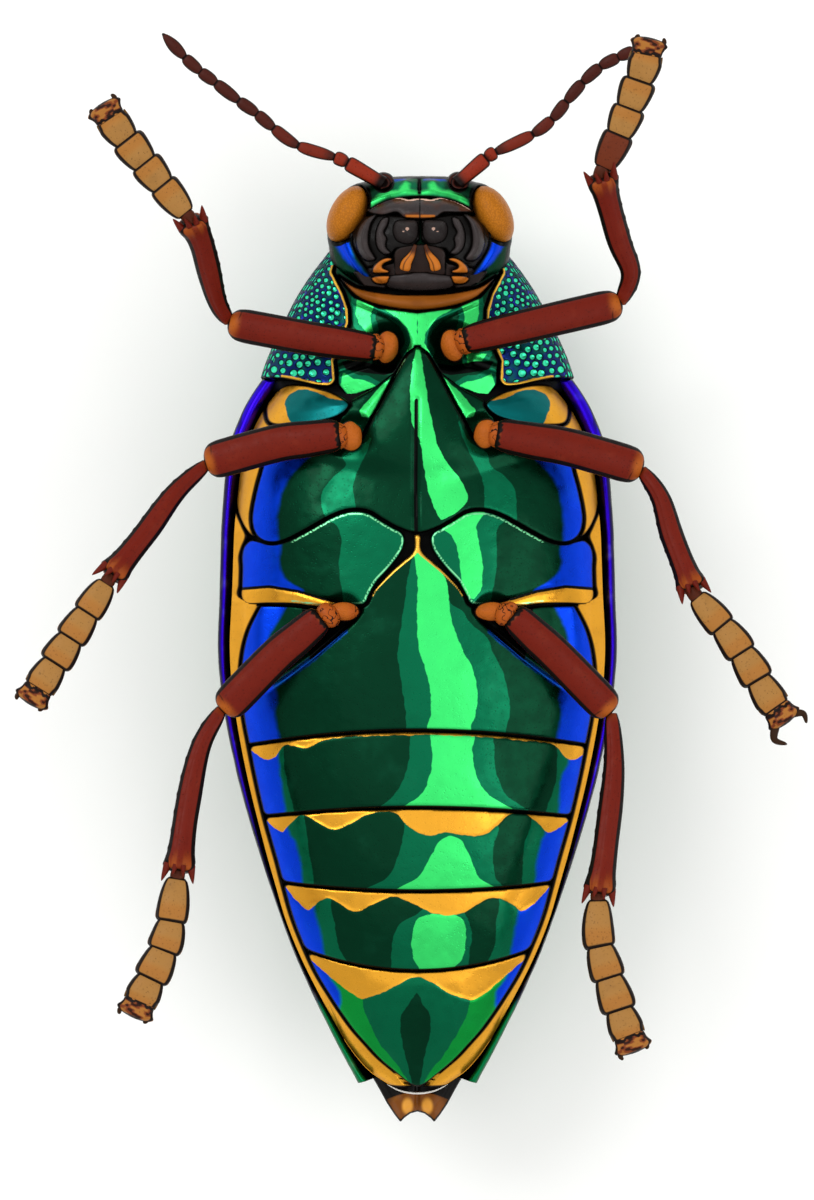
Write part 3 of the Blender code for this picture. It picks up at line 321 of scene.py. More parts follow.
def rise(value, low, high):
    """0 below low, 1 above high, and a smooth step between."""
    t = np.clip((np.asarray(value, float) - low) / (high - low), 0, 1)
    return t * t * (3 - 2 * t)


def curve_through(points, steps, closed=False):
    """Points on a smooth curve through the given ones, with this many steps from each to the next."""
    points = [np.array(p, float) for p in points]
    count = len(points)
    made = []
    for i in range(count if closed else count - 1):
        if closed:
            p0, p1, p2, p3 = (points[(i + k) % count] for k in (-1, 0, 1, 2))
        else:
            p1, p2 = points[i], points[i + 1]
            p0 = points[i - 1] if i else 2 * p1 - p2
            p3 = points[i + 2] if i + 2 < count else 2 * p2 - p1
        for k in range(steps):
            t = k / steps
            made.append(
                0.5 * (2 * p1 + (p2 - p0) * t + (2 * p0 - 5 * p1 + 4 * p2 - p3) * t**2
                       + (3 * p1 - p0 - 3 * p2 + p3) * t**3)
            )
    return np.array(made if closed else made + [points[-1]])


def mirrored(points, side):
    """Points seen from above, on the other side when side is -1."""
    return [(side * p[0], *p[1:]) for p in points]


def both_sides(half):
    """An outline across the middle, from its left half."""
    return list(half) + [(-x, y) for x, y in reversed(half) if x > 0]


def closed_curve(points, steps, side=1):
    """A smooth outline, mirrored when side is -1."""
    return mirrored(curve_through(points, steps, True), side)


def xyz(x, y, z):
    return np.stack([x, y, z], -1)


def most(*fields):
    return reduce(np.maximum, fields)


def least(*fields):
    return reduce(np.minimum, fields)


def running_length(path):
    """The length of a path up to each of its points."""
    return np.concatenate([[0], np.cumsum(np.linalg.norm(np.diff(path, axis=0), axis=1))])


def inside(x, y, outline):
    """How far each place is inside the closed outline, and less than 0 outside it."""
    outline = np.array(outline, float)
    x, y = np.asarray(x, float), np.asarray(y, float)
    shape = x.shape
    px, py = x.ravel(), y.ravel()
    nearest = np.full(px.shape, 1e9)
    within = np.zeros(px.shape, bool)
    for (ax, ay), (bx, by) in zip(outline, np.roll(outline, -1, 0)):
        ex, ey = bx - ax, by - ay
        t = np.clip(((px - ax) * ex + (py - ay) * ey) / max(ex * ex + ey * ey, 1e-12), 0, 1)
        nearest = np.minimum(nearest, (px - ax - t * ex) ** 2 + (py - ay - t * ey) ** 2)
        if ay != by:
            crosses = ((ay > py) != (by > py)) & (px < (py - ay) * ex / ey + ax)
            within ^= crosses
    distance = np.sqrt(nearest)
    return np.where(within, distance, -distance).reshape(shape)


def meet(radius, *fields):
    """Where all the fields hold, with their corners rounded."""
    made = fields[0]
    for field in fields[1:]:
        u, v = np.maximum(radius - made, 0), np.maximum(radius - field, 0)
        made = np.where((u > 0) & (v > 0), radius - np.hypot(u, v), np.minimum(made, field))
    return made


def near_line(x, y, points, width):
    """How far inside a line of this width each place is."""
    points = np.array(points, float)
    best = np.full(np.shape(x), 1e9)
    for (ax, ay), (bx, by) in zip(points, points[1:]):
        ex, ey = bx - ax, by - ay
        t = np.clip(((x - ax) * ex + (y - ay) * ey) / (ex * ex + ey * ey), 0, 1)
        best = np.minimum(best, np.hypot(x - ax - t * ex, y - ay - t * ey))
    return width / 2 - best


def edges(rows):
    """The left and the right edge of (y, left, right) rows, each as (y, x) stations."""
    return [[(row[0], row[k]) for row in rows if row[k] is not None] for k in (1, 2)]


def strip(x, y, rows):
    """How far each place is inside the strip between two edges."""
    left, right = edges(rows)
    low, high = left[-1][0], left[0][0]
    return least(x - smooth(left, y), smooth(right, y) - x, y - low, high - y)


def beyond(x, y, rows):
    """How far each place is outside two edges."""
    left, right = edges(rows)
    return np.maximum(smooth(left, y) - x, x - smooth(right, y))


def hashed(ix, iy, iz, seed):
    """A fixed number from 0 to 1 for each whole place."""
    n = ix * 374761393 + iy * 668265263 + iz * 1442695041 + seed * 974634777
    n = (n ^ (n >> 13)) * 1274126177
    n = n ^ (n >> 16)
    return (n & 0xFFFF) / 65535.0


def noise(points, size, seed=0):
    """Smooth noise from 0 to 1 with bumps about as wide as size."""
    q = np.asarray(points, float) / size
    i = np.floor(q).astype(np.int64)
    f = q - i
    f = f * f * (3 - 2 * f)
    total = 0
    for dx in (0, 1):
        for dy in (0, 1):
            for dz in (0, 1):
                weight = (
                    (f[..., 0] if dx else 1 - f[..., 0])
                    * (f[..., 1] if dy else 1 - f[..., 1])
                    * (f[..., 2] if dz else 1 - f[..., 2])
                )
                total = total + weight * hashed(i[..., 0] + dx, i[..., 1] + dy, i[..., 2] + dz, seed)
    return total


def nearest_edge(points, centres, radii):
    """How far each point lies from the edge of the nearest round spot; less than 0 inside it."""
    shape = points.shape[:-1]
    flat = points.reshape(-1, 3)
    best = np.full(len(flat), 9.0)
    order = np.argsort(centres[:, 1])
    centres, radii = centres[order], radii[order]
    rows = np.argsort(flat[:, 1])
    for block in np.array_split(rows, max(1, len(rows) // 2000)):
        low, high = flat[block, 1].min() - 0.8, flat[block, 1].max() + 0.8
        near = (centres[:, 1] > low) & (centres[:, 1] < high)
        if not near.any():
            continue
        gap = np.linalg.norm(flat[block][:, None, :] - centres[near][None], axis=2) - radii[near][None]
        best[block] = gap.min(1)
    return best.reshape(shape)


# ---------------------------------------------------------------- meshes

ZONES = ("dark", "bright", "blue", "gold", "flank", "teal", "pale", "yolk", "ink")


def make_object(name, points, faces, values, material, slot, nodes, weld=False):
    """An object from arrays in millimetres, with float attributes, that rides on the body."""
    mesh = bpy.data.meshes.new(name)
    mesh.from_pydata((np.asarray(points) * MM).tolist(), [], [tuple(f) for f in faces])
    for key, value in values.items():
        layer = mesh.attributes.new(key, "FLOAT", "POINT")
        layer.data.foreach_set("value", np.asarray(value, np.float32))
    mesh.validate()
    if weld:
        bm = bmesh.new()
        bm.from_mesh(mesh)
        bmesh.ops.remove_doubles(bm, verts=bm.verts, dist=1e-7)
        bmesh.ops.recalc_face_normals(bm, faces=bm.faces)
        bm.to_mesh(mesh)
        bm.free()
    mesh.shade_smooth()
    mesh.materials.append(material)
    obj = bpy.data.objects.new(name, mesh)
    bpy.context.scene.collection.objects.link(obj)
    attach(obj, BODY)
    if nodes:
        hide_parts(*nodes)
    return obj


def unit(vectors):
    """The vectors at length 1."""
    return vectors / np.maximum(np.linalg.norm(vectors, axis=-1, keepdims=True), 1e-12)


def ring_normals(points):
    """The normals of a lattice whose rows are closed rings."""
    down = np.gradient(points, axis=0)
    across = np.roll(points, -1, 1) - np.roll(points, 1, 1)
    return unit(np.cross(across, down))


def trimmed(points, field, values, inward, depth, rounding, wrap=False, closed=True):
    """The part of a lattice where field is above 0, as a plate with rounded edges and walls.

    inward is the way to its inside: one direction, or one for each point. With wrap the rows are
    closed rings, and a plate that isn't closed has no floor. It returns points, faces and values.
    """
    rows, columns = field.shape
    inward = np.broadcast_to(inward, points.shape)
    keys = list(values)
    data = np.concatenate(
        [points.reshape(-1, 3), inward.reshape(-1, 3)]
        + [np.broadcast_to(values[k], field.shape).reshape(-1, 1) for k in keys], axis=1,
    )
    d = field.ravel().astype(float).copy()
    index = np.arange(rows * columns).reshape(rows, columns)
    if wrap:
        pairs = [(index, np.roll(index, -1, 1)), (index[:-1], index[1:])]
    else:
        pairs = [(index[:, :-1], index[:, 1:]), (index[:-1], index[1:])]
    a = np.concatenate([p[0].ravel() for p in pairs])
    b = np.concatenate([p[1].ravel() for p in pairs])
    cross = d[a] * d[b] < 0
    a, b = a[cross], b[cross]
    t = d[a] / (d[a] - d[b])
    mover = np.concatenate([a[t < 0.4], b[t > 0.6]])
    other = np.concatenate([b[t < 0.4], a[t > 0.6]])
    share = np.concatenate([t[t < 0.4], 1 - t[t > 0.6]])
    order = np.argsort(-share)
    mover, other, share = mover[order], other[order], share[order]
    old = data.copy()
    data[mover] = old[mover] * (1 - share[:, None]) + old[other] * share[:, None]
    d[mover] = 0

    right = np.roll(index, -1, 1)[:-1] if wrap else index[:-1, 1:]
    below_right = np.roll(index, -1, 1)[1:] if wrap else index[1:, 1:]
    here, below = (index[:-1], index[1:]) if wrap else (index[:-1, :-1], index[1:, :-1])
    odd = (np.add.outer(np.arange(here.shape[0]), np.arange(here.shape[1])) % 2).astype(bool)
    p, q, r, s = (v.reshape(-1) for v in (here, right, below_right, below))
    odd = odd.reshape(-1)
    first = np.where(odd[:, None], np.stack([p, q, r], 1), np.stack([p, q, s], 1))
    second = np.where(odd[:, None], np.stack([p, r, s], 1), np.stack([q, r, s], 1))
    triangles = np.concatenate([first, second])
    signs = np.sign(d[triangles])
    some = (signs > 0).any(1)
    whole = triangles[some & (signs >= 0).all(1)]
    mixed = triangles[some & (signs < 0).any(1)]
    extra, cut_at, faces = [], {}, []

    def crossing(i, j):
        key = (min(i, j), max(i, j))
        if key not in cut_at:
            share = d[i] / (d[i] - d[j])
            cut_at[key] = len(data) + len(extra)
            extra.append(data[i] * (1 - share) + data[j] * share)
        return cut_at[key]

    for triangle in mixed.tolist():
        polygon = []
        for k in range(3):
            i, j = triangle[k], triangle[(k + 1) % 3]
            if d[i] >= 0:
                polygon.append(i)
            if d[i] * d[j] < 0:
                polygon.append(crossing(i, j) if d[i] > 0 else crossing(j, i))
        for k in range(1, len(polygon) - 1):
            faces.append((polygon[0], polygon[k], polygon[k + 1]))
    if extra:
        data = np.concatenate([data, np.array(extra)])
        d = np.concatenate([d, np.zeros(len(extra))])
        whole = np.concatenate([whole, np.array(faces)])
    used, whole = np.unique(whole, return_inverse=True)
    whole = whole.reshape(-1, 3)
    data, d = data[used], d[used]
    top, sink = data[:, :3], data[:, 3:6]
    normal = np.cross(top[whole[:, 1]] - top[whole[:, 0]], top[whole[:, 2]] - top[whole[:, 0]])
    if (normal * sink[whole[:, 0]]).sum() > 0:
        whole = whole[:, ::-1]
    drop = rounding * (1 - np.sqrt(np.maximum(0, 1 - (1 - np.clip(d / rounding, 0, 1)) ** 2)))
    top = top + sink * drop[:, None]
    values = {k: data[:, 6 + i] for i, k in enumerate(keys)}
    values["rim"] = d

    count = len(top)
    start, end = np.concatenate([whole[:, [0, 1]], whole[:, [1, 2]], whole[:, [2, 0]]]).T
    single = ~np.isin(start * count + end, end * count + start)
    open_edges = np.stack([start[single], end[single]], 1)
    follow = dict(open_edges.tolist())
    loops = []
    while follow:
        start, at = next(iter(follow.items()))
        loop = [start]
        del follow[start]
        while at != start and at in follow:
            loop.append(at)
            at = follow.pop(at)
        if len(loop) > 2:
            loops.append(loop)
    ring = np.array([v for loop in loops for v in loop])
    low = {v: count + i for i, v in enumerate(ring.tolist())}
    points = np.concatenate([top, top[ring] + sink[ring] * depth])
    faces = whole.tolist()
    for loop in loops:
        for v, w in zip(loop, loop[1:] + loop[:1]):
            faces.append((w, v, low[v], low[w]))
    if closed:
        lower = [[tuple(points[low[v]]) for v in loop] for loop in loops]
        flat = [low[v] for loop in loops for v in loop]
        for triangle in tessellate_polygon(lower):
            faces.append(tuple(flat[k] for k in triangle))
    values = {k: np.concatenate([v, v[ring]]) for k, v in values.items()}
    return points, faces, values


def plan(low_x, high_x, low_y, high_y, step=STEP):
    """A square lattice seen from above, as its x and y."""
    x = np.linspace(low_x, high_x, max(3, int(round((high_x - low_x) / step)) + 1))
    y = np.linspace(high_y, low_y, max(3, int(round((high_y - low_y) / step)) + 1))
    return np.meshgrid(x, y)


def tube(points, widths, heights, sides, up=(0, 0, 1), roundness=2.0):
    """A lattice round a path: rings of points, and the angle of each. Width lies across up."""
    points = np.asarray(points, float)
    along = unit(np.gradient(points, axis=0))
    across = unit(np.cross(along, np.array(up, float)))
    over = np.cross(across, along)
    angle = np.linspace(0, 2 * np.pi, sides, endpoint=False)
    c, s = np.cos(angle), np.sin(angle)
    scale = (np.abs(c) ** roundness + np.abs(s) ** roundness) ** (-1 / roundness)
    c, s = c * scale, s * scale
    rings = (
        points[:, None]
        + across[:, None] * (np.asarray(widths)[:, None] * c[None])[..., None] / 2
        + over[:, None] * (np.asarray(heights)[:, None] * s[None])[..., None] / 2
    )
    return rings, np.broadcast_to(angle, rings.shape[:2])


def lofted(rings, values):
    """The closed body through a lattice of rings: points, faces and values, with its ends filled."""
    count, sides = rings.shape[:2]
    index = np.arange(count * sides).reshape(count, sides)
    right = np.roll(index, -1, 1)
    quads = np.stack([index[:-1], right[:-1], right[1:], index[1:]], -1).reshape(-1, 4)
    points = rings.reshape(-1, 3)
    ends = np.stack([rings[0].mean(0), rings[-1].mean(0)])
    a, b = len(points), len(points) + 1
    caps = [(int(j), int(i), a) for i, j in zip(index[0], right[0])]
    caps += [(int(i), int(j), b) for i, j in zip(index[-1], right[-1])]
    values = {
        k: np.concatenate([np.broadcast_to(v, (count, sides)).reshape(-1), [np.mean(v[0]), np.mean(v[-1])]])
        for k, v in values.items()
    }
    return np.concatenate([points, ends]), quads.tolist() + caps, values


def merged(*bodies):
    """Several (points, faces, values) as one."""
    points, faces, start = [], [], 0
    keys = sorted({k for body in bodies for k in body[2]})
    values = {k: [] for k in keys}
    for body in bodies:
        points.append(body[0])
        faces += [tuple(int(v) + start for v in face) for face in body[1]]
        for k in keys:
            values[k].append(body[2].get(k, np.zeros(len(body[0]))))
        start += len(body[0])
    return np.concatenate(points), faces, {k: np.concatenate(v) for k, v in values.items()}


# ---------------------------------------------------------------- materials


def colour(text):
    """Linear red, green, blue and alpha from a web colour's six digits."""
    parts = [int(text[i:i + 2], 16) / 255 for i in (0, 2, 4)]
    return tuple(c / 12.92 if c <= 0.04045 else ((c + 0.055) / 1.055) ** 2.4 for c in parts) + (1.0,)


class Paint:
    """A procedural material. Colours are laid over each other by attribute or noise."""

    def __init__(self, name, base, metallic=0.0, coat=0.0, specular=0.3):
        self.material = bpy.data.materials.new(name)
        self.material.use_nodes = True
        self.tree = self.material.node_tree
        self.shader = self.tree.nodes["Principled BSDF"]
        self.shader.inputs["Metallic"].default_value = metallic
        self.shader.inputs["Coat Weight"].default_value = coat
        self.shader.inputs["Coat Roughness"].default_value = 0.15
        self.shader.inputs["Specular IOR Level"].default_value = specular
        edge = 0.5 if metallic else 1.0
        self.shader.inputs["Specular Tint"].default_value = (edge, edge, edge, 1.0)
        self.place = self.node("ShaderNodeTexCoord").outputs["Object"]
        rgb = self.node("ShaderNodeRGB")
        rgb.outputs[0].default_value = colour(base)
        self.tint = rgb.outputs[0]
        self.height = None

    def node(self, kind, **settings):
        made = self.tree.nodes.new(kind)
        for key, value in settings.items():
            setattr(made, key, value)
        return made

    def link(self, source, target):
        self.tree.links.new(source, target)

    def attribute(self, name):
        return self.node("ShaderNodeAttribute", attribute_name=name).outputs["Fac"]

    def ramp(self, value, low, high, to_low=0.0, to_high=1.0):
        made = self.node("ShaderNodeMapRange", interpolation_type="SMOOTHSTEP")
        self.link(value, made.inputs["Value"])
        for key, number in (("From Min", low), ("From Max", high), ("To Min", to_low), ("To Max", to_high)):
            made.inputs[key].default_value = number
        return made.outputs["Result"]

    def math(self, operation, a, b):
        made = self.node("ShaderNodeMath", operation=operation)
        for socket, value in zip(made.inputs, (a, b)):
            if isinstance(value, (int, float)):
                socket.default_value = value
            else:
                self.link(value, socket)
        return made.outputs[0]

    def noise(self, size, detail=2.0):
        """Noise with features about as large as size, in millimetres."""
        made = self.node("ShaderNodeTexNoise")
        made.inputs["Scale"].default_value = 1 / (size * MM)
        made.inputs["Detail"].default_value = detail
        self.link(self.place, made.inputs["Vector"])
        return made.outputs["Fac"]

    def cells(self, size):
        """How far each place is from the middle of its own cell, with cells about this large."""
        made = self.node("ShaderNodeTexVoronoi", feature="F1")
        made.inputs["Scale"].default_value = 1 / (size * MM)
        self.link(self.place, made.inputs["Vector"])
        return made.outputs["Distance"]

    def lay(self, tint, amount):
        """Lays a web colour over what is there, as much as amount says."""
        made = self.node("ShaderNodeMix", data_type="RGBA", blend_type="MIX")
        self.link(self.tint, made.inputs[6])
        made.inputs[7].default_value = colour(tint)
        self.link(amount, made.inputs[0])
        self.tint = made.outputs[2]

    def shade(self, name, tint, low, high, amount=1.0):
        """Lays a colour where an attribute goes from low to high."""
        self.lay(tint, self.ramp(self.attribute(name), low, high, 0.0, amount))

    def zone(self, name, tint, soft=0.02, wander=0.03):
        """Paints where an attribute is above 0, with an edge this soft that wanders a little."""
        value = self.attribute(name)
        if wander:
            value = self.math("ADD", value, self.ramp(self.noise(0.35), 0.2, 0.8, -wander, wander))
        self.lay(tint, self.ramp(value, -soft, soft))

    def mottle(self, size, amount, dark="000000", light="FFFFFF"):
        """Slow changes of tone, darker and lighter."""
        wave = self.noise(size, 3.0)
        self.lay(dark, self.ramp(wave, 0.5, 0.2, 0.0, amount))
        self.lay(light, self.ramp(wave, 0.55, 0.85, 0.0, amount * 0.6))

    def bump(self, height, strength, distance):
        made = self.node("ShaderNodeBump")
        made.inputs["Strength"].default_value = strength
        made.inputs["Distance"].default_value = distance * MM
        self.link(height, made.inputs["Height"])
        if self.height is not None:
            self.link(self.height, made.inputs["Normal"])
        self.height = made.outputs["Normal"]

    def done(self, roughness=(0.3, 0.45), size=0.6):
        low, high = roughness
        self.link(self.ramp(self.noise(size), 0.3, 0.7, low, high), self.shader.inputs["Roughness"])
        self.link(self.tint, self.shader.inputs["Base Color"])
        if self.height is not None:
            self.link(self.height, self.shader.inputs["Normal"])
        return self.material


def shell_green(name, soft, blue_soft):
    """The green shell. soft is how wide the change from one tone to the next is."""
    paint = Paint(name, "026240", metallic=0.9, coat=0.05)
    # Painted reflection tones: the base, flank, dark and bright zones stand for the metal's reflections, bright
    # as a painted highlight.
    paint.zone("flank", "0A9238", soft)
    paint.zone("dark", "00331E", soft)
    paint.zone("bright", "3ADF6E", soft)
    paint.zone("teal", "006062", soft)
    paint.zone("blue", "003CD8", blue_soft)
    paint.zone("gold", "E2A02C")
    paint.mottle(1.4, 0.1, light="2A9A70")
    speckle = paint.cells(0.16)
    paint.lay("000000", paint.ramp(speckle, 0.22, 0.1, 0.0, 0.12))
    # Painted shade: darker where a plate's edge rounds down into its seam.
    paint.shade("rim", "020604", 0.1, 0.04)
    # Painted highlights: a pale green line and a gold line along some edges.
    paint.zone("pale", "7FE0A0", soft=0.02, wander=0.0)
    paint.zone("yolk", "E8B040", soft=0.02, wander=0.0)
    paint.zone("ink", "020403", wander=0.0)
    paint.bump(paint.ramp(speckle, 0.05, 0.3), 0.25, 0.02)
    paint.bump(paint.noise(0.5, 4.0), 0.2, 0.03)
    return paint.done((0.24, 0.4))


def shell_gold():
    paint = Paint("beetle_gold", "E2A02C", metallic=0.85, coat=0.05)
    paint.mottle(0.8, 0.12, dark="8A5410", light="FFE08A")
    speckle = paint.cells(0.14)
    paint.lay("7A4A10", paint.ramp(speckle, 0.24, 0.1, 0.0, 0.3))
    paint.zone("teal", "006465")
    # Painted shade: darker where a plate's edge rounds down into its seam.
    paint.shade("rim", "0A0604", 0.12, 0.04)
    paint.zone("ink", "020403", wander=0.0)
    paint.bump(paint.ramp(speckle, 0.05, 0.3), 0.3, 0.02)
    return paint.done((0.28, 0.42))


def shell_pitted():
    paint = Paint("beetle_pitted", "06245E", metallic=0.85, coat=0.05)
    paint.lay("044A4A", paint.ramp(paint.noise(0.8), 0.5, 0.65))
    paint.lay("2030A8", paint.ramp(paint.noise(0.5, 3.0), 0.6, 0.7))
    paint.shade("pit", "010610", 0.05, 0.015)
    paint.shade("pit", "3AE8B0", 0.004, -0.022)
    # Painted highlight: a paler centre in each pit.
    paint.shade("pit", "8CFFD8", -0.09, -0.17, 0.5)
    paint.zone("gold", "E8B23A", wander=0.02)
    # Painted shade: darker where the plate's edge rounds down into its seam.
    paint.shade("rim", "010304", 0.1, 0.03)
    paint.bump(paint.noise(0.12, 3.0), 0.2, 0.015)
    return paint.done((0.22, 0.4))


def shell_wing():
    paint = Paint("beetle_wing_case", "05683F", metallic=0.9, coat=0.05)
    paint.lay("0B8A4E", paint.ramp(paint.noise(3.0, 3.0), 0.45, 0.65))
    paint.shade("flank", "0C3A8E", 0.0, 1.0)
    paint.shade("dark", "1A0A50", 0.0, 1.0)
    paint.shade("blue", "2A00C8", 0.0, 1.0)
    paint.shade("pit", "010406", 0.03, -0.04, 0.75)
    paint.shade("bright", "00713F", 0.0, 1.0)
    paint.shade("ink", "020204", 0.0, 1.0)
    paint.mottle(1.2, 0.15)
    paint.bump(paint.noise(0.2, 3.0), 0.2, 0.02)
    return paint.done((0.25, 0.4))


def horn(name, base, warm, deep):
    """The horn of legs and feelers: warm near the joints, deep where it is nearly black."""
    paint = Paint(name, base, specular=0.1)
    paint.mottle(0.9, 0.16, dark="200404", light="B05030")
    paint.shade("warm", warm, 0.1, 0.9)
    paint.shade("rust", "6E2A14", 0.1, 0.9)
    fibres = paint.noise(0.12, 4.0)
    paint.lay(deep, paint.ramp(fibres, 0.42, 0.25, 0.0, 0.35))
    dots = paint.cells(0.15)
    paint.lay(deep, paint.ramp(dots, 0.2, 0.08, 0.0, 0.45))
    paint.shade("deep", deep, 0.15, 0.85)
    paint.bump(paint.ramp(dots, 0.05, 0.25), 0.35, 0.02)
    paint.bump(fibres, 0.25, 0.02)
    return paint.done((0.38, 0.55), 0.3)


def crackled(name, base, light, deep):
    """The joint horn of the coxae, with dark cracks where it folds."""
    paint = Paint(name, base, specular=0.1)
    paint.mottle(0.5, 0.3, dark="5A2008", light=light)
    paint.shade("warm", light, 0.3, 0.9)
    cracks = paint.math("ABSOLUTE", paint.math("SUBTRACT", paint.noise(0.3, 1.5), 0.5), 0.0)
    near = paint.ramp(paint.attribute("crack"), 0.2, 0.8)
    paint.lay(deep, paint.math("MULTIPLY", paint.ramp(cracks, 0.035, 0.012), near))
    paint.shade("deep", deep, 0.15, 0.85)
    paint.bump(paint.ramp(cracks, 0.0, 0.06), 0.4, 0.03)
    paint.bump(paint.noise(0.1, 3.0), 0.2, 0.015)
    return paint.done((0.36, 0.5), 0.3)


def eye_amber():
    paint = Paint("beetle_eye", "B66E1A", specular=0.08)
    paint.mottle(0.7, 0.06, dark="7A3C08", light="D89040")
    facets = paint.cells(0.075)
    paint.lay("5A2E08", paint.ramp(facets, 0.4, 0.58, 0.0, 0.28))
    paint.bump(paint.ramp(facets, 0.6, 0.1), 0.5, 0.02)
    return paint.done((0.34, 0.45), 0.4)


def mouth_horn():
    paint = Paint("beetle_mouth", "363030", specular=0.12)
    paint.mottle(0.5, 0.3, dark="100C0A", light="564640")
    paint.shade("brown", "4A2410", 0.1, 0.9)
    paint.shade("warm", "B8681E", 0.1, 0.9)
    # Painted shade where the edges of the mouthparts round down.
    paint.shade("rim", "060403", 0.1, 0.04)
    # pale lays painted glints on the mandibles and the pale front rim of the lip.
    paint.shade("pale", "ECC0AC", 0.3, 0.7)
    paint.shade("deep", "060403", 0.1, 0.9)
    paint.bump(paint.noise(0.1, 4.0), 0.35, 0.02)
    return paint.done((0.25, 0.45), 0.3)


def plain_horn(name, base, dark, light):
    paint = Paint(name, base, specular=0.12)
    paint.mottle(0.8, 0.3, dark=dark, light=light)
    paint.shade("warm", light, 0.1, 0.9)
    # deep lays painted shade: at plate edges and under the last segment's end.
    paint.shade("deep", "050302", 0.1, 0.9)
    # pale is a painted highlight.
    paint.shade("pale", "F0ECE4", 0.3, 0.7)
    paint.bump(paint.noise(0.12, 4.0), 0.3, 0.02)
    return paint.done((0.3, 0.48), 0.3)


# A near-black membrane that stands for the shade deep in the seams.
def skin_seam_shade():
    paint = Paint("beetle_membrane_seam_shade", "040505", specular=0.05)
    paint.mottle(0.6, 0.2, dark="000000", light="101818")
    paint.bump(paint.noise(0.2, 3.0), 0.4, 0.03)
    return paint.done((0.4, 0.6))


GREEN = shell_green("beetle_emerald", 0.02, 0.12)
HEAD = shell_green("beetle_head", 0.12, 0.1)
GOLD = shell_gold()
PITTED = shell_pitted()
WING = shell_wing()
RED = horn("beetle_leg", "68180A", "A8561A", "0A0302")
TAN = horn("beetle_foot", "9E713A", "AC7230", "120704")
FEELER = horn("beetle_feeler", "451A12", "862814", "100504")
CRACKLE = crackled("beetle_joint", "A44E16", "C0701E", "180804")
EYE = eye_amber()
MOUTH = mouth_horn()
CHIN_HORN = plain_horn("beetle_chin", "84480E", "4A2004", "A05A1C")
TAIL_HORN = plain_horn("beetle_tail", "7A4414", "3A1C06", "E09A38")
CORE_SEAM_SHADE = skin_seam_shade()

# ---------------------------------------------------------------- forms that stand for a node


def dress(node, form, material, slot, weld=False):
    """The visible piece of one CAD node. form is its points, faces and values."""
    return make_object(f"{node}_form", *form, material, slot, [node], weld)


def green_plate(node, x, y, z, field, zones, depth=0.55):
    """A plate of the underside over a lattice seen from above, with its colour zones."""
    values = {key: np.full(x.shape, -1.0) for key in ZONES}
    values.update(zones)
    dress(node, trimmed(xyz(x, y, z), field, values, DOWN, depth, 0.1), GREEN, "emerald_shell")


def gold_plate(node, points, field, inward, depth, rounding, slot="golden_shell", teal=-1.0):
    """A golden plate, which may have a teal zone."""
    form = trimmed(points, field, {"ink": -1.0, "teal": teal}, inward, depth, rounding)
    dress(node, form, GOLD, slot)


# ---------------------------------------------------------------- the trunk's surfaces


def inner_width(y):
    return smooth(WING_CASE_WIDTH, y) - smooth(WING_CASE_RIM, y)


def trunk_width(y):
    full = inner_width(y) - WING_GAP
    return np.where(np.asarray(y) < TAIL_WIDTH[0][0], np.minimum(full, smooth(TAIL_WIDTH, y)), full)


def trunk_floor(y):
    low = smooth(BACK, y) + SHELL + WING_GAP
    return np.where(np.asarray(y) < TAIL_FLOOR[0][0], np.maximum(low, smooth(TAIL_FLOOR, y)), low)


def dome(share, roundness):
    """The height over a share of the half width, 1 in the middle and 0 at the edge."""
    return (1 - np.clip(np.abs(share), 0, 1) ** roundness) ** (1 / roundness)


def belly(x, y, lift=0.0):
    """The height of the underside."""
    edge = smooth(SIDE_EDGE, y)
    return edge + (smooth(BELLY, y) + lift - edge) * dome(x / trunk_width(y), BELLY_ROUNDNESS)


def flank_lattice(ys, turns, count, side=1, drop=0.0):
    """A lattice down one side of the underside, between two quarter turns from its middle."""
    turn = np.linspace(*turns, count) * np.pi / 2
    x = side * trunk_width(ys)[:, None] * np.sin(turn)[None] ** (2 / BELLY_ROUNDNESS)
    y = np.broadcast_to(ys[:, None], x.shape)
    edge = smooth(SIDE_EDGE, ys)[:, None]
    height = np.maximum(np.cos(turn), 0)[None] ** (2 / BELLY_ROUNDNESS)
    return x, y, edge + (smooth(BELLY, ys)[:, None] - drop - edge) * height


def throat(x, y):
    """The height of the underside of the prothorax."""
    edge = smooth(PRONOTUM_EDGE, y)
    return edge + (smooth(PRONOTUM_BELLY, y) - edge) * dome(x / smooth(PRONOTUM_WIDTH, y), 2.0)


def spear_field(x, y):
    width = smooth(SPEAR_WIDTH, y)
    return least((width - np.abs(x)) * SPEAR_SLOPE, SPEAR_TIP - y, y - SPEAR_REAR)


BREAST_OUTLINE = closed_curve(both_sides(BREAST_PLATE), 4)
COXA_OUTLINE = closed_curve(HIND_COXA_PLATE, 4)


def breast_field(x, y):
    return np.maximum(inside(x, y, BREAST_OUTLINE), spear_field(x, y))


def coxa_field(x, y, side):
    return inside(x, y, mirrored(COXA_OUTLINE, side))


def hollow(x, y, centre, radius, depth):
    """A round hollow for a leg joint."""
    return -depth * (1 - rise(np.hypot(x - centre[0], y - centre[1]), radius * 0.6, radius * 1.5))


def grain(x, y, z):
    """A fine unevenness of the shell."""
    points = xyz(x, y, z)
    return 0.012 * (noise(points, 0.45, 3) - 0.5) + 0.006 * (noise(points, 0.2, 5) - 0.5)


# ---------------------------------------------------------------- the breast and the belly

BREAST_SUTURE = [(-0.05, 7.5), (-0.08, 4.0), (-0.06, 1.8)]
BREAST_DENT = [(-2.0, 5.6), (-3.2, 4.4), (-3.9, 3.2)]
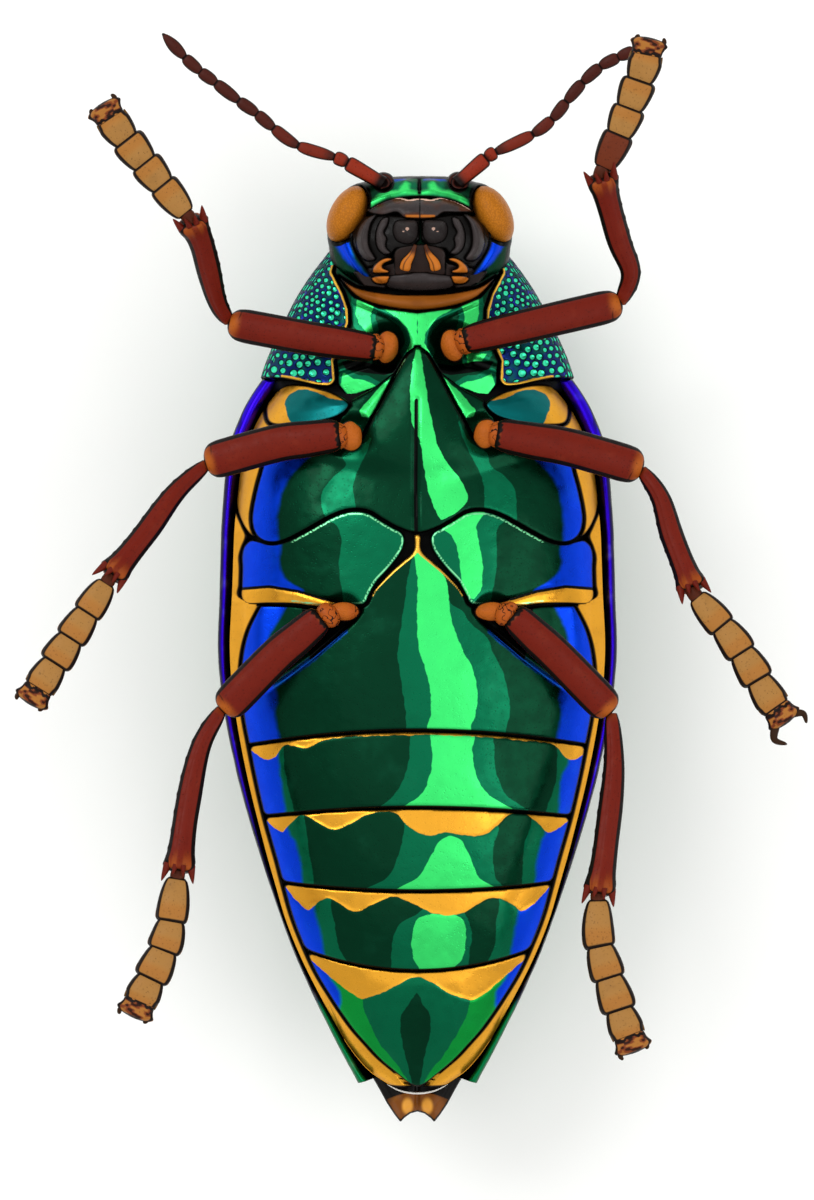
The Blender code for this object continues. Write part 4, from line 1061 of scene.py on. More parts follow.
# The breast's painted highlight strip and the edges of its mid-tone strips, as (y, left, right) rows.
BREAST_HIGHLIGHT = [
    (9.9, -0.05, 0.05), (9.0, -0.2, 0.2), (8.0, -0.3, 0.36), (7.4, -0.29, 0.45), (6.5, -0.22, 0.62),
    (5.8, 0.1, 0.78), (5.3, None, 1.0), (4.8, 0.26, 1.3), (4.3, 0.33, 1.72), (3.8, 0.43, 2.0),
    (3.3, 0.58, 2.09), (2.8, 0.8, 1.6), (2.5, 1.0, 1.02),
]
BREAST_MIDDLE_RIGHT = [
    (6.9, -1.75, -1.7), (5.8, -2.1, -1.97), (5.3, -3.12, -2.14), (4.8, -2.98, -2.4), (4.3, -3.53, -2.61),
    (3.8, -3.92, -2.69), (3.3, -4.04, -2.61), (1.5, -3.5, -2.5),
]
BREAST_MIDDLE_LEFT = [
    (6.9, 1.6, 1.65), (5.8, 1.95, 2.16), (5.3, 2.19, 2.9), (4.8, 2.45, 3.04), (4.3, 2.67, 3.68),
    (3.8, 2.79, 4.05), (3.3, 2.79, 4.14), (1.5, 2.7, 4.1),
]
BREAST_BLUE = [
    (6.3, -3.9, 4.3), (5.4, -4.3, 4.7), (4.8, -4.92, 5.2), (4.3, -5.35, 5.65), (3.8, -5.62, 5.9),
    (3.3, -5.78, 6.03), (2.4, -5.9, 6.12), (1.2, -5.8, 6.1),
]
COXAL_BLUE = [
    (3.0, -4.6, 5.0), (2.4, -5.0, 5.4), (2.0, -5.2, None), (1.8, None, 5.95), (1.6, -5.65, None),
    (1.2, -5.76, 6.0), (0.6, -5.78, 6.03), (0.0, -5.48, 5.6), (-0.4, -4.8, 4.9),
]
COXAL_MIDDLE = [
    (3.3, -4.6, 4.6), (2.65, -4.1, 4.0), (2.3, -3.4, 3.45), (1.8, -3.2, 3.3), (0.6, -3.27, 3.3),
    (-0.5, -3.15, 3.13), (-1.5, -3.0, 2.9),
]
COXAL_HIGHLIGHT = [
    (3.2, 0.3, 2.95), (2.8, None, 2.8), (2.6, 0.5, None), (2.3, None, 2.48), (2.2, 0.95, None),
    (1.8, 1.45, 2.52), (1.2, 1.68, 2.64), (0.6, 1.77, 2.72), (0.0, 1.82, 2.71), (-0.5, 1.97, 2.6),
    (-0.78, 2.25, 2.35),
]
COXAL_GOLD = [  # the front of the gold strip, as (x, y)
    (2.0, -1.2), (3.0, -1.05), (4.0, -0.78), (5.0, -0.48), (6.2, -0.28), (7.3, -0.36), (7.7, -0.5),
]
COXAL_CREASE = [(2.9, -1.02), (4.0, -0.78), (5.0, -0.48), (6.2, -0.28), (7.6, -0.38)]


def build_breast():
    """The breast plate, with the spear that points to the head."""
    x, y = plan(-7.1, 7.1, 1.4, 9.85)
    width = np.maximum(smooth(SPEAR_WIDTH, y), 0.15)
    ridge = smooth(SPEAR_RIDGE, y) - 0.28 * np.sqrt(width) * (x / width) ** 2
    blend = 0.3
    z = belly(x, y)
    z = np.maximum(z, ridge) + np.maximum(blend - np.abs(z - ridge), 0) ** 2 / (4 * blend)
    suture = near_line(x, y, BREAST_SUTURE, 0.16)
    z = z - 0.12 * rise(suture, -0.12, 0.05) - 0.05 * rise(near_line(x, y, BREAST_DENT, 1.0), 0.0, 0.5)
    for word in ("left", "right"):
        z = z + hollow(x, y, LEGS[f"middle_{word}"]["coxa"], 0.75, 0.25)
    # Painted reflection tones: dark outside the middle strips, a painted highlight strip, and pale, a painted
    # highlight line.
    zones = {
        "dark": -np.maximum(strip(x, y, BREAST_MIDDLE_LEFT), strip(x, y, BREAST_MIDDLE_RIGHT)),
        "bright": strip(x, y, BREAST_HIGHLIGHT), "blue": beyond(x, y, BREAST_BLUE), "ink": suture,
        "pale": near_line(x, y, [(-0.52, 9.25), (-0.98, 8.5)], 0.07),
    }
    green_plate("metasternum", x, y, z + grain(x, y, z), breast_field(x, y), zones, depth=0.9)


def build_coxal_plates():
    """The plates in front of the hind legs, with their golden rear strips."""
    for side, word in SIDES:
        x, y = plan(*sorted((side * 0.3, side * 7.6)), -1.3, 3.1)
        far = np.abs(x)
        field = meet(0.34, coxa_field(x, y, side), -breast_field(x, y) - SEAM)
        gold = np.minimum(smooth(COXAL_GOLD, far) - y, far - 3.3)
        crease = near_line(far, y, COXAL_CREASE, 0.13)
        z = belly(x, y) - 0.1 * rise(crease, -0.1, 0.06) - 0.05 * rise(gold, 0, 0.3) + grain(x, y, y)
        z = z + hollow(x, y, LEGS[f"hind_{word}"]["coxa"], 0.6, 0.3)
        right_edge, left_edge = edges(COXAL_MIDDLE)
        dark = x - smooth(left_edge, y) if side > 0 else smooth(right_edge, y) - x
        # dark and bright are painted reflection tones, bright a painted highlight on the left plate only; pale
        # is a painted highlight line inside the edge.
        zones = {
            "blue": beyond(x, y, COXAL_BLUE), "gold": gold, "ink": crease, "dark": dark,
            "pale": np.minimum(0.035 - np.abs(field - 0.13), 5.3 - far),
        }
        if side > 0:
            zones["bright"] = strip(x, y, COXAL_HIGHLIGHT)
        green_plate(f"hind_coxal_plate_{word}", x, y, z, field, zones)


# bright, middle, dark, kite and drop mark painted reflection tones, bright a painted highlight, while blue and
# gold are the shell's own colours.
# The colour zones of each belly segment. gold is the rear limit of its golden band, as (x, y).
SEGMENTS = {
    1: {
        "bright": [
            (2.1, -0.22, 0.0), (1.2, -0.16, 0.06), (0.6, -0.08, 0.72), (0.0, 0.0, 1.18),
            (-1.3, -0.03, 1.36), (-1.8, None, 1.46), (-2.4, 0.0, 1.67), (-3.0, 0.09, 1.92),
            (-3.8, 0.35, 2.33), (-4.8, 0.55, 2.5), (-5.6, 0.55, 2.42), (-6.1, 0.43, 2.25), (-6.7, 0.4, 2.1),
        ],
        "middle": [
            (1.0, -0.2, 0.3), (0.6, -0.29, 0.8), (0.0, -0.42, None), (-0.9, -0.54, None), (-1.0, None, 1.4),
            (-1.3, None, 1.87), (-1.8, -0.66, 2.2), (-2.4, None, 2.9), (-3.0, -0.83, 3.13),
            (-3.8, -0.75, 3.54), (-4.8, -0.59, 3.8), (-5.6, -0.5, 3.85), (-6.1, None, 3.71),
            (-6.7, -0.45, 3.6),
        ],
        "blue": [
            (-1.0, -5.45, 5.7), (-1.8, -5.9, 6.1), (-2.4, -6.25, 6.3), (-3.5, -6.4, 6.4),
            (-4.8, -5.9, 5.95), (-5.6, -5.98, 6.05), (-6.1, -5.9, 5.95), (-6.9, -5.7, 5.8),
        ],
    },
    2: {
        "bright": [
            (-6.1, 0.43, 2.3), (-6.6, 0.52, 2.4), (-7.0, 0.58, 2.3), (-7.6, 0.62, 2.34), (-8.3, 0.47, 2.51),
            (-8.9, 0.2, 2.89), (-9.3, -0.3, 3.45), (-9.7, -1.1, 4.3),
        ],
        "middle": [
            (-6.1, -0.33, 3.1), (-7.0, -0.33, 3.21), (-7.6, -0.37, 3.21), (-8.3, -0.59, 3.37),
            (-8.9, -0.92, 3.63), (-9.3, -1.31, 4.09), (-9.7, -2.0, 4.8),
        ],
        "dark": [
            (-6.1, -5.6, 5.8), (-7.6, -5.6, 5.86), (-8.3, -5.5, 5.84), (-8.9, -5.39, 5.69),
            (-9.3, -5.27, 5.52), (-10.0, -5.1, 5.3),
        ],
        "blue": [
            (-6.1, -5.95, 6.3), (-7.6, None, 6.35), (-8.3, -5.75, 6.05), (-9.5, -5.55, 5.95),
        ],
        "gold": [
            (-7.2, -7.1), (-6.9, -7.25), (-6.35, -7.55), (-5.95, -7.4), (-5.65, -6.98), (-5.25, -6.93),
            (-4.75, -7.05), (-4.4, -6.93), (-4.0, -6.72), (-3.5, -6.6), (-2.0, -6.52), (0.0, -6.48),
            (2.0, -6.52), (3.3, -6.6), (4.4, -6.72), (5.4, -6.82), (5.85, -7.0), (6.25, -7.48),
            (6.6, -7.56), (7.1, -7.25),
        ],
    },
    3: {
        "bright": [
            (-10.72, 1.35, 1.45), (-10.8, 1.1, 1.7), (-11.0, 0.87, 1.9), (-11.5, 0.6, 2.17),
            (-12.0, 0.33, 2.35), (-12.5, -0.05, 2.62), (-12.8, -0.6, 3.1), (-13.2, -1.5, 3.8),
        ],
        "middle": [
            (-9.3, -0.5, 3.4), (-10.6, -0.59, 3.37), (-11.0, -0.66, 3.21), (-11.5, -0.8, 3.17),
            (-12.0, -0.97, 3.17), (-12.5, -1.31, 3.3), (-12.8, -1.89, 3.54), (-13.2, -2.9, 4.0),
        ],
        "dark": [
            (-9.3, -4.8, 4.8), (-10.2, -4.71, 4.77), (-10.6, -4.64, 4.65), (-11.0, None, 4.51),
            (-11.5, -4.55, 4.43), (-12.0, -4.42, None), (-13.2, -4.3, 4.39),
        ],
        "blue": [
            (-9.5, -5.6, 5.5), (-10.6, -5.4, 5.4), (-11.0, -5.12, 5.2), (-12.0, -4.9, 5.0),
            (-13.2, -4.8, 4.95),
        ],
        "gold": [
            (-6.5, -9.95), (-6.2, -10.25), (-5.7, -10.58), (-5.35, -10.25), (-4.85, -9.84), (-4.2, -10.15),
            (-3.55, -10.45), (-2.86, -10.22), (-2.1, -9.82), (-1.5, -9.67), (-0.85, -9.8), (-0.5, -10.2),
            (0.1, -10.6), (0.6, -10.68), (1.2, -10.56), (1.65, -10.62), (2.3, -10.72), (2.9, -10.62),
            (3.42, -10.2), (3.85, -9.82), (4.2, -9.77), (4.6, -9.85), (5.1, -10.25), (5.5, -10.62),
            (5.9, -10.45), (6.4, -10.1),
        ],
    },
    4: {
        "bright": [
            (-14.0, 0.6, 1.4), (-14.12, 0.15, 1.78), (-14.4, -0.1, 1.97), (-15.0, -0.25, 2.04),
            (-15.6, -0.22, 1.97), (-16.0, -0.12, 1.8), (-16.3, 0.05, 1.55), (-16.7, 0.3, 1.3),
        ],
        "middle": [
            (-13.7, 0.3, 1.9), (-14.0, 0.0, 2.0), (-14.2, -0.4, 2.1), (-14.4, -0.71, 2.19),
            (-15.0, -1.0, 2.28), (-15.6, -1.09, 2.19), (-16.7, -1.1, 2.1),
        ],
        "dark": [
            (-12.6, -3.7, 3.4), (-13.6, -3.62, 3.42), (-14.0, -3.58, None), (-14.4, -3.49, 3.3),
            (-15.0, -3.41, 3.3), (-15.6, -3.24, 3.17), (-16.7, -2.5, 2.5),
        ],
        "blue": [
            (-12.6, -4.6, 4.6), (-14.0, -4.3, 4.25), (-15.0, -4.05, 4.05), (-16.0, -3.9, 3.9),
        ],
        "gold": [
            (-5.6, -12.85), (-5.35, -13.2), (-5.0, -13.58), (-4.6, -13.87), (-4.25, -13.6), (-3.8, -13.34),
            (-3.24, -13.6), (-2.6, -13.92), (-1.9, -13.6), (-1.0, -13.27), (-0.15, -13.58), (0.6, -13.95),
            (1.2, -14.05), (1.85, -13.98), (2.5, -13.6), (3.1, -13.35), (3.5, -13.38), (3.95, -13.6),
            (4.4, -13.9), (4.9, -13.62), (5.4, -13.1), (5.6, -12.85),
        ],
    },
    5: {
        "kite": [
            (-16.6, -2.3, 2.2), (-17.8, -2.31, 2.19), (-18.3, -2.18, 2.07), (-19.0, -1.85, 1.73),
            (-19.6, -1.55, 1.38), (-20.2, -1.05, 0.98), (-20.8, -0.62, 0.5), (-21.5, -0.2, 0.15),
        ],
        "drop": [
            (-17.3, -0.03, 0.0), (-17.8, -0.33, 0.21), (-18.3, -0.68, 0.52), (-19.0, -0.7, 0.54),
            (-19.6, -0.62, 0.4), (-20.2, -0.48, 0.27), (-20.8, -0.33, 0.17), (-21.5, -0.2, 0.1),
        ],
        "blue": [
            (-15.3, -4.3, 4.3), (-16.8, -3.65, 3.7), (-17.3, -3.3, 3.35), (-17.8, -3.25, 3.3),
            (-18.5, -3.4, 3.4), (-22.0, -4.0, 4.0),
        ],
        "gold": [
            (-4.9, -15.7), (-4.6, -15.95), (-4.04, -16.4), (-3.58, -16.8), (-2.9, -17.3), (-2.45, -17.58),
            (-2.2, -17.6), (-1.43, -17.32), (-0.54, -16.86), (0.0, -16.66), (0.43, -16.82), (1.27, -17.32),
            (2.05, -17.64), (2.35, -17.68), (2.96, -17.32), (3.54, -16.82), (4.02, -16.42), (4.6, -15.95),
            (4.9, -15.7),
        ],
    },
}


def joint_line(x, joint):
    """The bent line between two segments, from its place in the middle and at the edge."""
    middle, edge = joint
    width = smooth(BELLY_PLATE_WIDTH, edge)
    return middle + (edge - middle) * (x / width) ** 2


def fold_groin(far, y, field, zones):
    """The fold under the hind femora: adds its lines to the zones and returns its depth."""
    side = np.sign(y - np.interp(far, *np.array(GROIN).T))
    groin = np.where(far < GROIN[0][0], -1, -side * near_line(far, y, GROIN, 0.0))
    line = np.minimum(near_line(far, y, GROIN, 0.07) + 0.02, far - 3.0)
    # Painted shadow in the fold where the femur lies.
    zones["ink"] = np.minimum(groin, (4.55 - far) * 0.6 + (y + 3.0) * 0.1)
    zones["blue"] = np.maximum(zones["blue"], line)
    zones["dark"] = np.minimum(zones["dark"], -line)
    # A painted highlight line in gold along the plate's front edge.
    zones["yolk"] = np.minimum(0.025 + 0.035 * rise(y, -0.6, 1.0) - np.abs(field - 0.065), y + 0.7)
    return 0.38 * (1 - rise(far, 5.6, 6.9)) * rise(groin, -0.06, 0.18)


def build_segment(number, painted):
    """A segment of the belly between its two joint lines, with its colour zones."""
    first, last = number == 1, number == len(BELLY_JOINTS)
    back = BELLY_JOINTS[number - 1]
    if first:
        high, widest, step, rounding = BELLY_FRONT, -4.3, 0.065, 0.06
    else:
        front = BELLY_JOINTS[number - 2]
        high, widest, step, rounding = max(front) + 0.1, front[1], STEP, 0.22
    reach = float(smooth(BELLY_PLATE_WIDTH, widest)) + 0.05
    x, y = plan(-reach, reach, BELLY_END - 0.1 if last else min(back) - 0.1, high, step)
    far = np.abs(x)
    parts = [(smooth(BELLY_PLATE_WIDTH, y) - far) * (0.97 if number < 4 else 0.88)]
    if first:
        start = -1.0 - 0.35 * far
        parts += [-breast_field(x, y) - SEAM, -coxa_field(x, y, 1) - SEAM, -coxa_field(x, y, -1) - SEAM]
        parts.append((smooth(FORK, y) - far) * 0.7)
    else:
        start = joint_line(x, front)
        parts.append(start - SEAM / 2 - y)
    end = np.full_like(x, BELLY_END) if last else joint_line(x, back)
    parts.append(y - end - (0 if last else SEAM / 2))
    field = meet(rounding, *parts)
    share = np.clip((start - y) / np.maximum(start - end, 0.5), 0, 1)
    lift = SHINGLE * (rise(-y, 0, 6) if first else 2 * share - 1)
    z = belly(x, y, lift) + 0.07 * np.sin(np.pi * share)

    # Painted reflection tones: bright is a painted highlight, dark and flank darker and lighter reflections.
    zones = {"blue": beyond(x, y, painted["blue"])}
    if last:
        kite, drop = strip(x, y, painted["kite"]), strip(x, y, painted["drop"])
        zones.update(flank=-kite, dark=drop)
        z = z + 0.1 * rise(kite, -0.3, 0.5) - 0.06 * rise(drop, -0.1, 0.3)
    else:
        zones.update(bright=strip(x, y, painted["bright"]), dark=-strip(x, y, painted["middle"]))
    if "dark" in painted:
        zones["dark"] = np.minimum(zones["dark"], strip(x, y, painted["dark"]))
    if "gold" in painted:
        zones["gold"] = y - smooth(painted["gold"], x)
        z = z - 0.05 * rise(zones["gold"], -0.08, 0.12)
    if first:
        z = z - fold_groin(far, y, field, zones)
    green_plate(f"abdomen_segment_{number}", x, y, z + grain(x, y, z), field, zones)


def build_rims():
    """The golden rims beside the belly, from the coxal plates to the tail."""
    x, y, z = flank_lattice(np.linspace(3.7, -21.5, 320), (0.3, 1.0), 90, drop=SHINGLE)
    edge = smooth(SIDE_EDGE, y)
    plates = np.where(y > -1.0, smooth(HIND_EDGE, y), smooth(BELLY_PLATE_WIDTH, y))
    start = edge + (smooth(BELLY, y) - SHINGLE - edge) * dome(plates / trunk_width(y), BELLY_ROUNDNESS)
    ledge = np.maximum(start - 0.05 - 1.1 * (x - plates), edge + 0.25)
    z = np.where(x > plates - 0.1, np.maximum(z, np.minimum(ledge, start)), z)
    field = least(x - plates - SEAM, 3.3 - y + (x - 7.5) * 0.6, y + 21.45)
    for side, word in SIDES:
        inward = unit(np.array([-side * 0.6, 0.0, -0.8]))
        gold_plate(f"abdomen_rim_{word}", xyz(side * x, y, z), field, inward, 0.45, 0.08)


def build_side_strip(side, word):
    """The golden strip beside the breast plate."""
    x, y, z = flank_lattice(np.linspace(7.8, 1.2, 110), (0.45, 1.0), 64, side)
    own = np.maximum(
        inside(x, y, closed_curve(SIDE_PLATE, 4, side)), inside(x, y, mirrored(SIDE_WEDGE, side)),
    )
    lobe = inside(x, y, closed_curve(SHOULDER_LOBE, 6, side))
    field = meet(0.06, own, -breast_field(x, y) - SEAM, -coxa_field(x, y, side) - SEAM, -lobe - SEAM)
    inward = unit(np.array([-side * 0.5, 0.0, -0.85]))
    gold_plate(f"metepisternum_{word}", xyz(x, y, z), field, inward, 0.45, 0.1)


def build_shoulder(side, word):
    """The golden lobe beside the throat, with its teal middle."""
    x, y, z = flank_lattice(np.linspace(8.6, 6.3, 60), (0.2, 1.0), 90, side)
    lobe = inside(x, y, closed_curve(SHOULDER_LOBE, 6, side))
    field = np.minimum(lobe, -inside(x, y, mirrored(THROAT_PLATE, side)) - SEAM)
    teal = inside(x, y, closed_curve(SHOULDER_TEAL, 6, side))
    points = xyz(x, y, z + 0.12 * rise(lobe, 0, 0.6))
    gold_plate(f"mesepimeron_{word}", points, field, DOWN, 0.5, 0.12, "emerald_shell", teal)


def build_arm(side, word):
    """The green arm beside the spear."""
    x, y = plan(*sorted((side * 0.3, side * 4.7)), 4.2, 8.9, 0.07)
    field = meet(
        0.08, inside(x, y, mirrored(ARM, side)), -breast_field(x, y) - SEAM,
        -inside(x, y, mirrored(SHOULDER_LOBE, side)) - SEAM,
    )
    wedge = inside(x, y, mirrored(ARM_WEDGE, side))
    z = belly(x, y) + 0.1 * rise(wedge, -0.2, 0.3)
    z = z + hollow(x, y, LEGS[f"middle_{word}"]["coxa"], 0.8, 0.35)
    # Painted reflection tones: a painted highlight down the wedge over the dark tone, and a small teal arc that
    # is a painted highlight too.
    zones = {
        "bright": wedge, "dark": np.full(x.shape, 1.0),
        "teal": near_line(np.abs(x), y, [(2.6, 5.35), (3.0, 5.25), (3.4, 5.4)], 0.14),
    }
    green_plate(f"mesosternum_{word}", x, y, z + grain(x, y, z), field, zones)


# ---------------------------------------------------------------- the prothorax

THROAT_FRONT = [(0.0, 12.1), (2.0, 12.3), (3.0, 12.9), (3.6, 13.6)]  # (x, y)
THROAT_COLUMN = [(9.2, 0.75), (9.8, 0.6), (10.3, 0.5), (10.8, 0.7), (11.2, 1.5), (11.6, 2.4)]
THROAT_HIGHLIGHTS = [
    [
        (0.0, 11.25), (1.55, 11.45), (0.9, 11.05), (0.55, 10.7), (0.32, 10.3), (0.3, 9.95), (0.5, 9.55),
        (0.3, 9.6), (0.0, 9.75),
    ],
    [
        (1.75, 11.75), (2.05, 11.6), (2.55, 11.85), (2.6, 11.2), (2.45, 10.75), (2.15, 10.4), (1.85, 10.45),
        (2.0, 11.1),
    ],
    [(1.75, 8.15), (2.1, 8.35), (2.7, 8.45), (3.1, 8.7), (3.25, 8.2), (2.9, 7.75), (2.5, 7.85)],
]
THROAT_LEFT_HIGHLIGHT = [(2.05, 9.55), (2.9, 9.5), (2.7, 9.15), (2.1, 9.1)]
THROAT_GROOVE = [(2.2, 9.2), (3.1, 8.9), (3.6, 8.75)]
THROAT_LINE = [(0.02, 9.76), (0.25, 9.66), (0.5, 9.4), (0.95, 8.75)]
THROAT_SHADE = [
    (0.85, 9.1), (1.5, 9.0), (2.4, 9.2), (3.2, 9.2), (3.0, 8.85), (2.2, 8.7), (1.4, 8.6), (0.95, 8.7),
]


def build_throat():
    """The plate between the fore legs."""
    x, y = plan(-3.6, 3.6, 7.5, 13.6, 0.06)
    far = np.abs(x)
    field = meet(
        0.08, inside(x, y, both_sides(THROAT_PLATE)), -spear_field(x, y) - SEAM,
        -inside(x, y, both_sides(CHIN)) - SEAM, smooth(THROAT_FRONT, far) - y,
    )
    z = throat(x, y) + 0.05
    z = z + 0.22 * rise(smooth(THROAT_COLUMN, y) - far, -0.35, 0.15)
    for word in ("left", "right"):
        z = z + hollow(x, y, LEGS[f"fore_{word}"]["coxa"], 0.8, 0.5)
    z = z - 0.15 * rise(near_line(far, y, THROAT_GROOVE, 0.7), 0, 0.3)
    # Painted highlights on the throat, with the painted dark reflection tone round them.
    left_light = np.where(x > 0, inside(x, y, THROAT_LEFT_HIGHLIGHT), -1)
    bright = most(left_light, *[inside(far, y, shape) for shape in THROAT_HIGHLIGHTS])
    ink = np.maximum(near_line(far, y, THROAT_LINE, 0.09), inside(far, y, THROAT_SHADE))
    zones = {"dark": -(bright + 0.22), "bright": bright, "ink": ink}
    green_plate("prosternum", x, y, z + grain(x, y, z), field, zones, depth=0.8)


def build_chin():
    """The horn-coloured band between the throat and the mouth."""
    x, y = plan(-3.5, 3.5, 11.2, 13.0, 0.06)
    field = inside(x, y, closed_curve(both_sides(CHIN), 4))
    points = xyz(x, y, throat(x, y) + 0.16 * rise(field, 0.0, 0.3) - 0.05)
    warm = rise(y, 11.3, 12.0) * 0.6 * rise(noise(points, 1.2, 7), 0.3, 0.7)
    # deep is painted shade along the band's edge.
    values = {"warm": warm, "deep": rise(-field, -0.12, -0.02)}
    dress("gula", trimmed(points, field, values, DOWN, 0.5, 0.14), CHIN_HORN, "joint_horn")


def closed_loop(half):
    """The full loop of a section from its left half, which starts and ends in the middle."""
    return np.concatenate([half, (half * [-1, 1])[-2:0:-1]])


def pronotum_rings(y, count):
    """Rings of evenly spread points round the prothorax, one at each y."""
    width, edge = smooth(PRONOTUM_WIDTH, y), smooth(PRONOTUM_EDGE, y)
    top, back = smooth(PRONOTUM_BELLY, y), smooth(PRONOTUM_BACK, y)
    turn = np.linspace(0, np.pi / 2, 200)
    power = 2 / BACK_ROUNDNESS
    above = np.stack([np.sin(turn), np.cos(turn)], -1)
    below = np.stack([np.sin(turn) ** power, -np.maximum(np.cos(turn), 0) ** power], -1)[::-1]
    loop = closed_loop(np.concatenate([above, below[1:]]))
    rings = []
    for place, half, level, high, low in zip(y, width, edge, top, back):
        z = level + np.where(loop[:, 1] > 0, loop[:, 1] * (high - level), loop[:, 1] * (level - low))
        ring = np.stack([loop[:, 0] * half, z], -1)
        ring = np.concatenate([ring, ring[:1]])
        run = running_length(ring)
        at = np.linspace(0, run[-1], count, endpoint=False)
        across, up = np.interp(at, run, ring[:, 0]), np.interp(at, run, ring[:, 1])
        rings.append(np.stack([across, np.full(count, place), up], -1))
    return np.array(rings)


def spots(u, v):
    """How far each place lies from the nearest spot of a loose six-sided pattern, in spacings."""
    best = np.full(np.shape(u), 9.0)
    height = math.sqrt(0.75)
    for down in (-1, 0, 1):
        row = np.round(v / height) + down
        shift = 0.5 * (row % 2)
        for across in (-1, 0, 1):
            column = np.round(u - shift) + across
            i, j = column.astype(np.int64), row.astype(np.int64)
            middle_u = column + shift + 0.28 * (hashed(i, j, 0, 61) - 0.5)
            middle_v = (row + 0.3 * (hashed(i, j, 1, 62) - 0.5)) * height
            radius = 0.31 + 0.12 * (hashed(i, j, 2, 63) - 0.5)
            best = np.minimum(best, np.hypot(u - middle_u, v - middle_v) - radius)
    return best


def build_pronotum():
    """The pitted shell round the prothorax, with a golden edge beside the throat."""
    rows, columns = 128, 620
    points = pronotum_rings(np.linspace(14.4, 8.05, rows), columns)
    x, y, z = points[..., 0], points[..., 1], points[..., 2]
    edge = smooth(PRONOTUM_EDGE, y)
    belly_side = z > edge + 0.3
    far = np.abs(x)
    corner = meet(0.4, -inside(x, y, both_sides(THROAT_PLATE)) - SEAM, y - smooth(PRONOTUM_REAR, far))
    field = np.where(belly_side, corner, y - PRONOTUM_WIDTH[0][0] - 0.25 * rise(edge - z, 4.0, 0.0))
    normal = ring_normals(points)
    if (normal[40] * (points[40] - points[40].mean(0))).sum() < 0:
        normal = -normal

    away = PIT_CORNER - (far + 1j * y)
    grown = np.log(away) / PIT_SPACING
    under = spots(grown.real, grown.imag) * PIT_SPACING * np.abs(away)
    girth = 38.0
    run = np.broadcast_to(np.arange(columns)[None] * girth / columns, x.shape)
    over = spots(run / BACK_PIT_SPACING, y / BACK_PIT_SPACING) * BACK_PIT_SPACING
    pit = np.where(belly_side & (normal[..., 2] > 0.42), under, over)

    wall = 0.13 + 0.03 * noise(points * [1, 1, 0], 0.5, 2)
    gold = np.where(belly_side, np.minimum(wall - corner, 0.5), -1.0)
    gold = least(gold, smooth([(3.0, 1.0), (5.4, 0.3), (6.0, -0.3)], far), 13.3 - y)
    pit = np.where(gold > -0.03, np.maximum(pit, 0.1), pit)
    relief = 0.05 * rise(gold, -0.05, 0.08) - 0.07 * rise(pit, 0.015, -0.06)
    relief = relief + 0.02 * (noise(points, 0.6, 9) - 0.5)
    shape = points + normal * relief[..., None]
    form = trimmed(shape, field, {"pit": pit, "gold": gold}, -normal, 0.45, 0.07, wrap=True, closed=False)
    dress("pronotum", form, PITTED, "pitted_shell")


# ---------------------------------------------------------------- the head


def ball(rows, columns, gap):
    """The polar and turning angles of a lattice over a ball, open by gap at both ends."""
    polar = np.linspace(gap, np.pi - gap, rows)
    turn = np.linspace(0, 2 * np.pi, columns, endpoint=False)
    return np.meshgrid(polar, turn, indexing="ij")


def turned(x, y, angle):
    """A place turned about the Z axis."""
    c, s = math.cos(angle), math.sin(angle)
    return x * c - y * s, x * s + y * c


def sunk_to(z, level, amount):
    """Heights brought down to a level, fully where amount is 1."""
    return np.where(amount > 0, z * (1 - amount) + np.minimum(z, level) * amount, z)


def head_lattice(rows, columns):
    """A squared ball, as rings about the Y axis from the front to the back."""
    p, t = ball(rows, columns, 0.02)
    way = xyz(np.sin(p) * np.sin(t), np.cos(p), np.sin(p) * np.cos(t))
    length = (np.abs(way) ** HEAD_ROUNDNESS).sum(-1, keepdims=True) ** (1 / HEAD_ROUNDNESS)
    return way / length * np.array(HEAD_SIZE) + np.array(HEAD_CENTRE)


def mouth_share(x, y):
    """How far out each place of the mouth is, 1 at its edge."""
    wide = MOUTH_SIZE[0] - 0.05 - 0.36 * rise(14.4 - y, 0, 1.4)
    across, along = (x - MOUTH_CENTRE[0]) / wide, (y - MOUTH_CENTRE[1]) / MOUTH_SIZE[1]
    return (np.abs(across) ** MOUTH_ROUNDNESS + np.abs(along) ** MOUTH_ROUNDNESS) ** (1 / MOUTH_ROUNDNESS)


def bowl(share, roundness):
    """The depth of a rounded bowl or the height of a dome, from 1 in the middle to 0 at the edge."""
    return np.maximum(1 - np.minimum(share, 1) ** roundness, 0) ** (1 / roundness)


def head_top(x, y):
    """The height of the head's underside."""
    share = [np.abs((v - c) / s) ** HEAD_ROUNDNESS for v, c, s in zip((x, y), HEAD_CENTRE, HEAD_SIZE)]
    return HEAD_CENTRE[2] + HEAD_SIZE[2] * np.maximum(1 - share[0] - share[1], 0) ** (1 / HEAD_ROUNDNESS)


def mouth_dome(x, y):
    """The height of the mouthparts, a low dome in their pit."""
    return MOUTH_CENTRE[2] + (MOUTH_SIZE[2] - SEAM) * bowl(mouth_share(x, y), MOUTH_ROUNDNESS)


def lip_bed(x, y):
    """The height that the upper lip lies on."""
    return np.maximum(mouth_dome(x, y), head_top(x, y) - 0.02)


def eye_frame(x, y, z, side):
    """Coordinates along the eye's own half sizes, 1 at its surface."""
    u, v = turned(x - EYE_SHIFT - side * EYE_CENTRE[0], y - EYE_CENTRE[1], -side * EYE_TURN)
    return u / EYE_SIZE[0], v / EYE_SIZE[1], (z - EYE_CENTRE[2]) / EYE_SIZE[2]


def ball_radius(u, v, w):
    """1 on a ball that is fuller than round toward its rim."""
    return (np.hypot(u, v) ** EYE_ROUNDNESS + np.abs(w) ** EYE_ROUNDNESS) ** (1 / EYE_ROUNDNESS)


